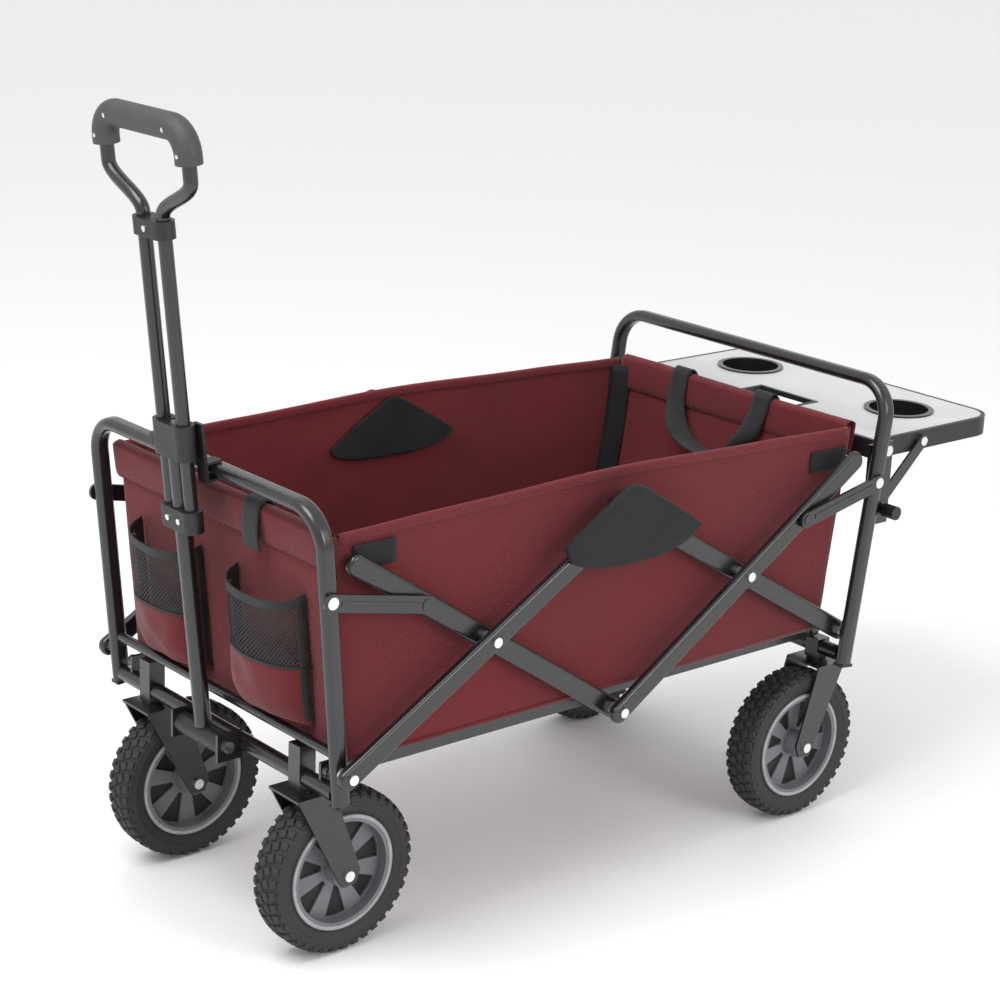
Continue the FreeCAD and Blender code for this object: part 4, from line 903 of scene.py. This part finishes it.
blocks = bmesh.new()
pitches = 40
half_step = math.pi / pitches
crown_block = (0.0102, 0.0112, 0.0042)
for count in range(pitches):
    at = 2 * math.pi * count / pitches
    lug(blocks, at, -0.0056, 0.0978, crown_block, 0.5, 0)
    lug(blocks, at + half_step, 0.0056, 0.0978, crown_block, 0.5, 0)
    for side in (1, -1):
        shift = half_step * (0.5 if side > 0 else 1.5)
        lug(blocks, at + shift, side * 0.0163, 0.0962, (0.0094, 0.0106, 0.0046), 0.2 * side, side * 0.3)
        lug(blocks, at + shift, side * 0.0211, 0.0922, (0.0026, 0.0084, 0.0046), 0, side * 0.2)
long_edges = [edge for edge in blocks.edges if edge.calc_length() > 0.002]
bmesh.ops.bevel(blocks, geom=long_edges, offset=0.0006, segments=1, profile=0.5, affect="EDGES",
                material=-1)
join_in(tyre, blocks)
wheel_places = (("front", "left"), ("front", "right"), ("rear", "left"), ("rear", "right"))
for corner, side_word in wheel_places:
    node = f"{corner}_tyre_{side_word}"
    low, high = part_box(node)
    placed = tyre.copy()
    if corner == "rear":
        rolled_on = Matrix.Rotation(0.05, 3, "X")
        bmesh.ops.rotate(placed, cent=(0, 0, 0), matrix=rolled_on, verts=placed.verts)
    bmesh.ops.translate(placed, vec=(low + high) / 2, verts=placed.verts)
    treaded = finished(f"{corner}_tread_{side_word}", placed, rubber, f"wheel_{corner}_{side_word}",
                       smooth=False)
    for face in treaded.data.polygons:
        face.use_smooth = face.area > 3e-5 or face.area < 2e-6
    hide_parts(node)
tyre.free()

# ---- Rim webs -------------------------------------------------------------------------------
# Behind the rims' windows a thin black web closes the middle of the wheel: painted shade, standing for
# the dark inside of the wheel. A brighter lip round the seat of the tyre is a painted highlight.

# The web's near-black colour is painted shade seen through the rim windows.
web_painted_shade, tree, shader, where = finish_named("web_painted_shade", (0.006, 0.006, 0.0065), 0.6)
matt = grain(tree, where, 50.0)
mottled(tree, shader, matt, (0.005, 0.005, 0.0055), (0.009, 0.009, 0.0095), (0.5, 0.7))
# The lip ring's pale grey is a painted highlight along the rim's edge.
lip_painted_highlight, tree, shader, where = finish_named("lip_painted_highlight", (0.3, 0.305, 0.315), 0.28)
highlight_mottle = grain(tree, where, 40.0)
mottled(tree, shader, highlight_mottle, (0.26, 0.265, 0.275), (0.36, 0.365, 0.375), (0.22, 0.36))
shade_web_outline = [(-0.0019, 0.0185), (0.0019, 0.0185), (0.0019, 0.0615), (-0.0019, 0.0615)]
highlight_ring_outline = [(0.0188, 0.0655), (0.0202, 0.0665), (0.0206, 0.0685), (0.0202, 0.0703), (0.0188, 0.0708)]
for corner, side_word in wheel_places:
    low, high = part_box(f"{corner}_rim_{side_word}")
    for piece_name, finish, outline, mirrors in (
        ("web", web_painted_shade, shade_web_outline, (1,)), ("lip", lip_painted_highlight, highlight_ring_outline, (1, -1)),
    ):
        turned_ring = bmesh.new()
        for mirror in mirrors:
            turn_round(turned_ring, [(x * mirror, r) for x, r in outline], 64)
        bmesh.ops.remove_doubles(turned_ring, verts=turned_ring.verts, dist=1e-5)
        bmesh.ops.recalc_face_normals(turned_ring, faces=turned_ring.faces)
        bmesh.ops.translate(turned_ring, vec=(low + high) / 2, verts=turned_ring.verts)
        finished(f"{corner}_{piece_name}_{side_word}", turned_ring, finish,
                 f"wheel_{corner}_{side_word}", smooth=piece_name == "lip")

# ---- Grip screws ----------------------------------------------------------------------------
# The grip's two halves are held by small bright domed screws, two along the bar and one near the
# end of each sleeve.

grip_low, grip_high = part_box("handle_grip")
screws = bmesh.new()
handle_lean = math.radians(6.1)
faces_out = Vector((0, -math.cos(handle_lean), -math.sin(handle_lean)))
up_handle = Vector((0, -math.sin(handle_lean), math.cos(handle_lean)))
bar_centre = Vector((0, (grip_low.y + grip_high.y) / 2, (grip_low.z + grip_high.z) / 2))
for x, rise in ((-0.058, 0.0105), (0.058, 0.0105), (-0.082, -0.0145), (0.082, -0.0145)):
    spot = bar_centre + Vector((x, 0, 0)) + up_handle * rise + faces_out * 0.0146
    turn = faces_out.to_track_quat("Z", "Y").to_matrix().to_4x4()
    flattened = Matrix.Diagonal((1, 1, 0.42, 1))
    bmesh.ops.create_uvsphere(screws, u_segments=16, v_segments=8, radius=0.0034,
                              matrix=Matrix.Translation(spot) @ turn @ flattened)
grip_screws = finished("grip_screws", screws, zinc, "handle_upper")
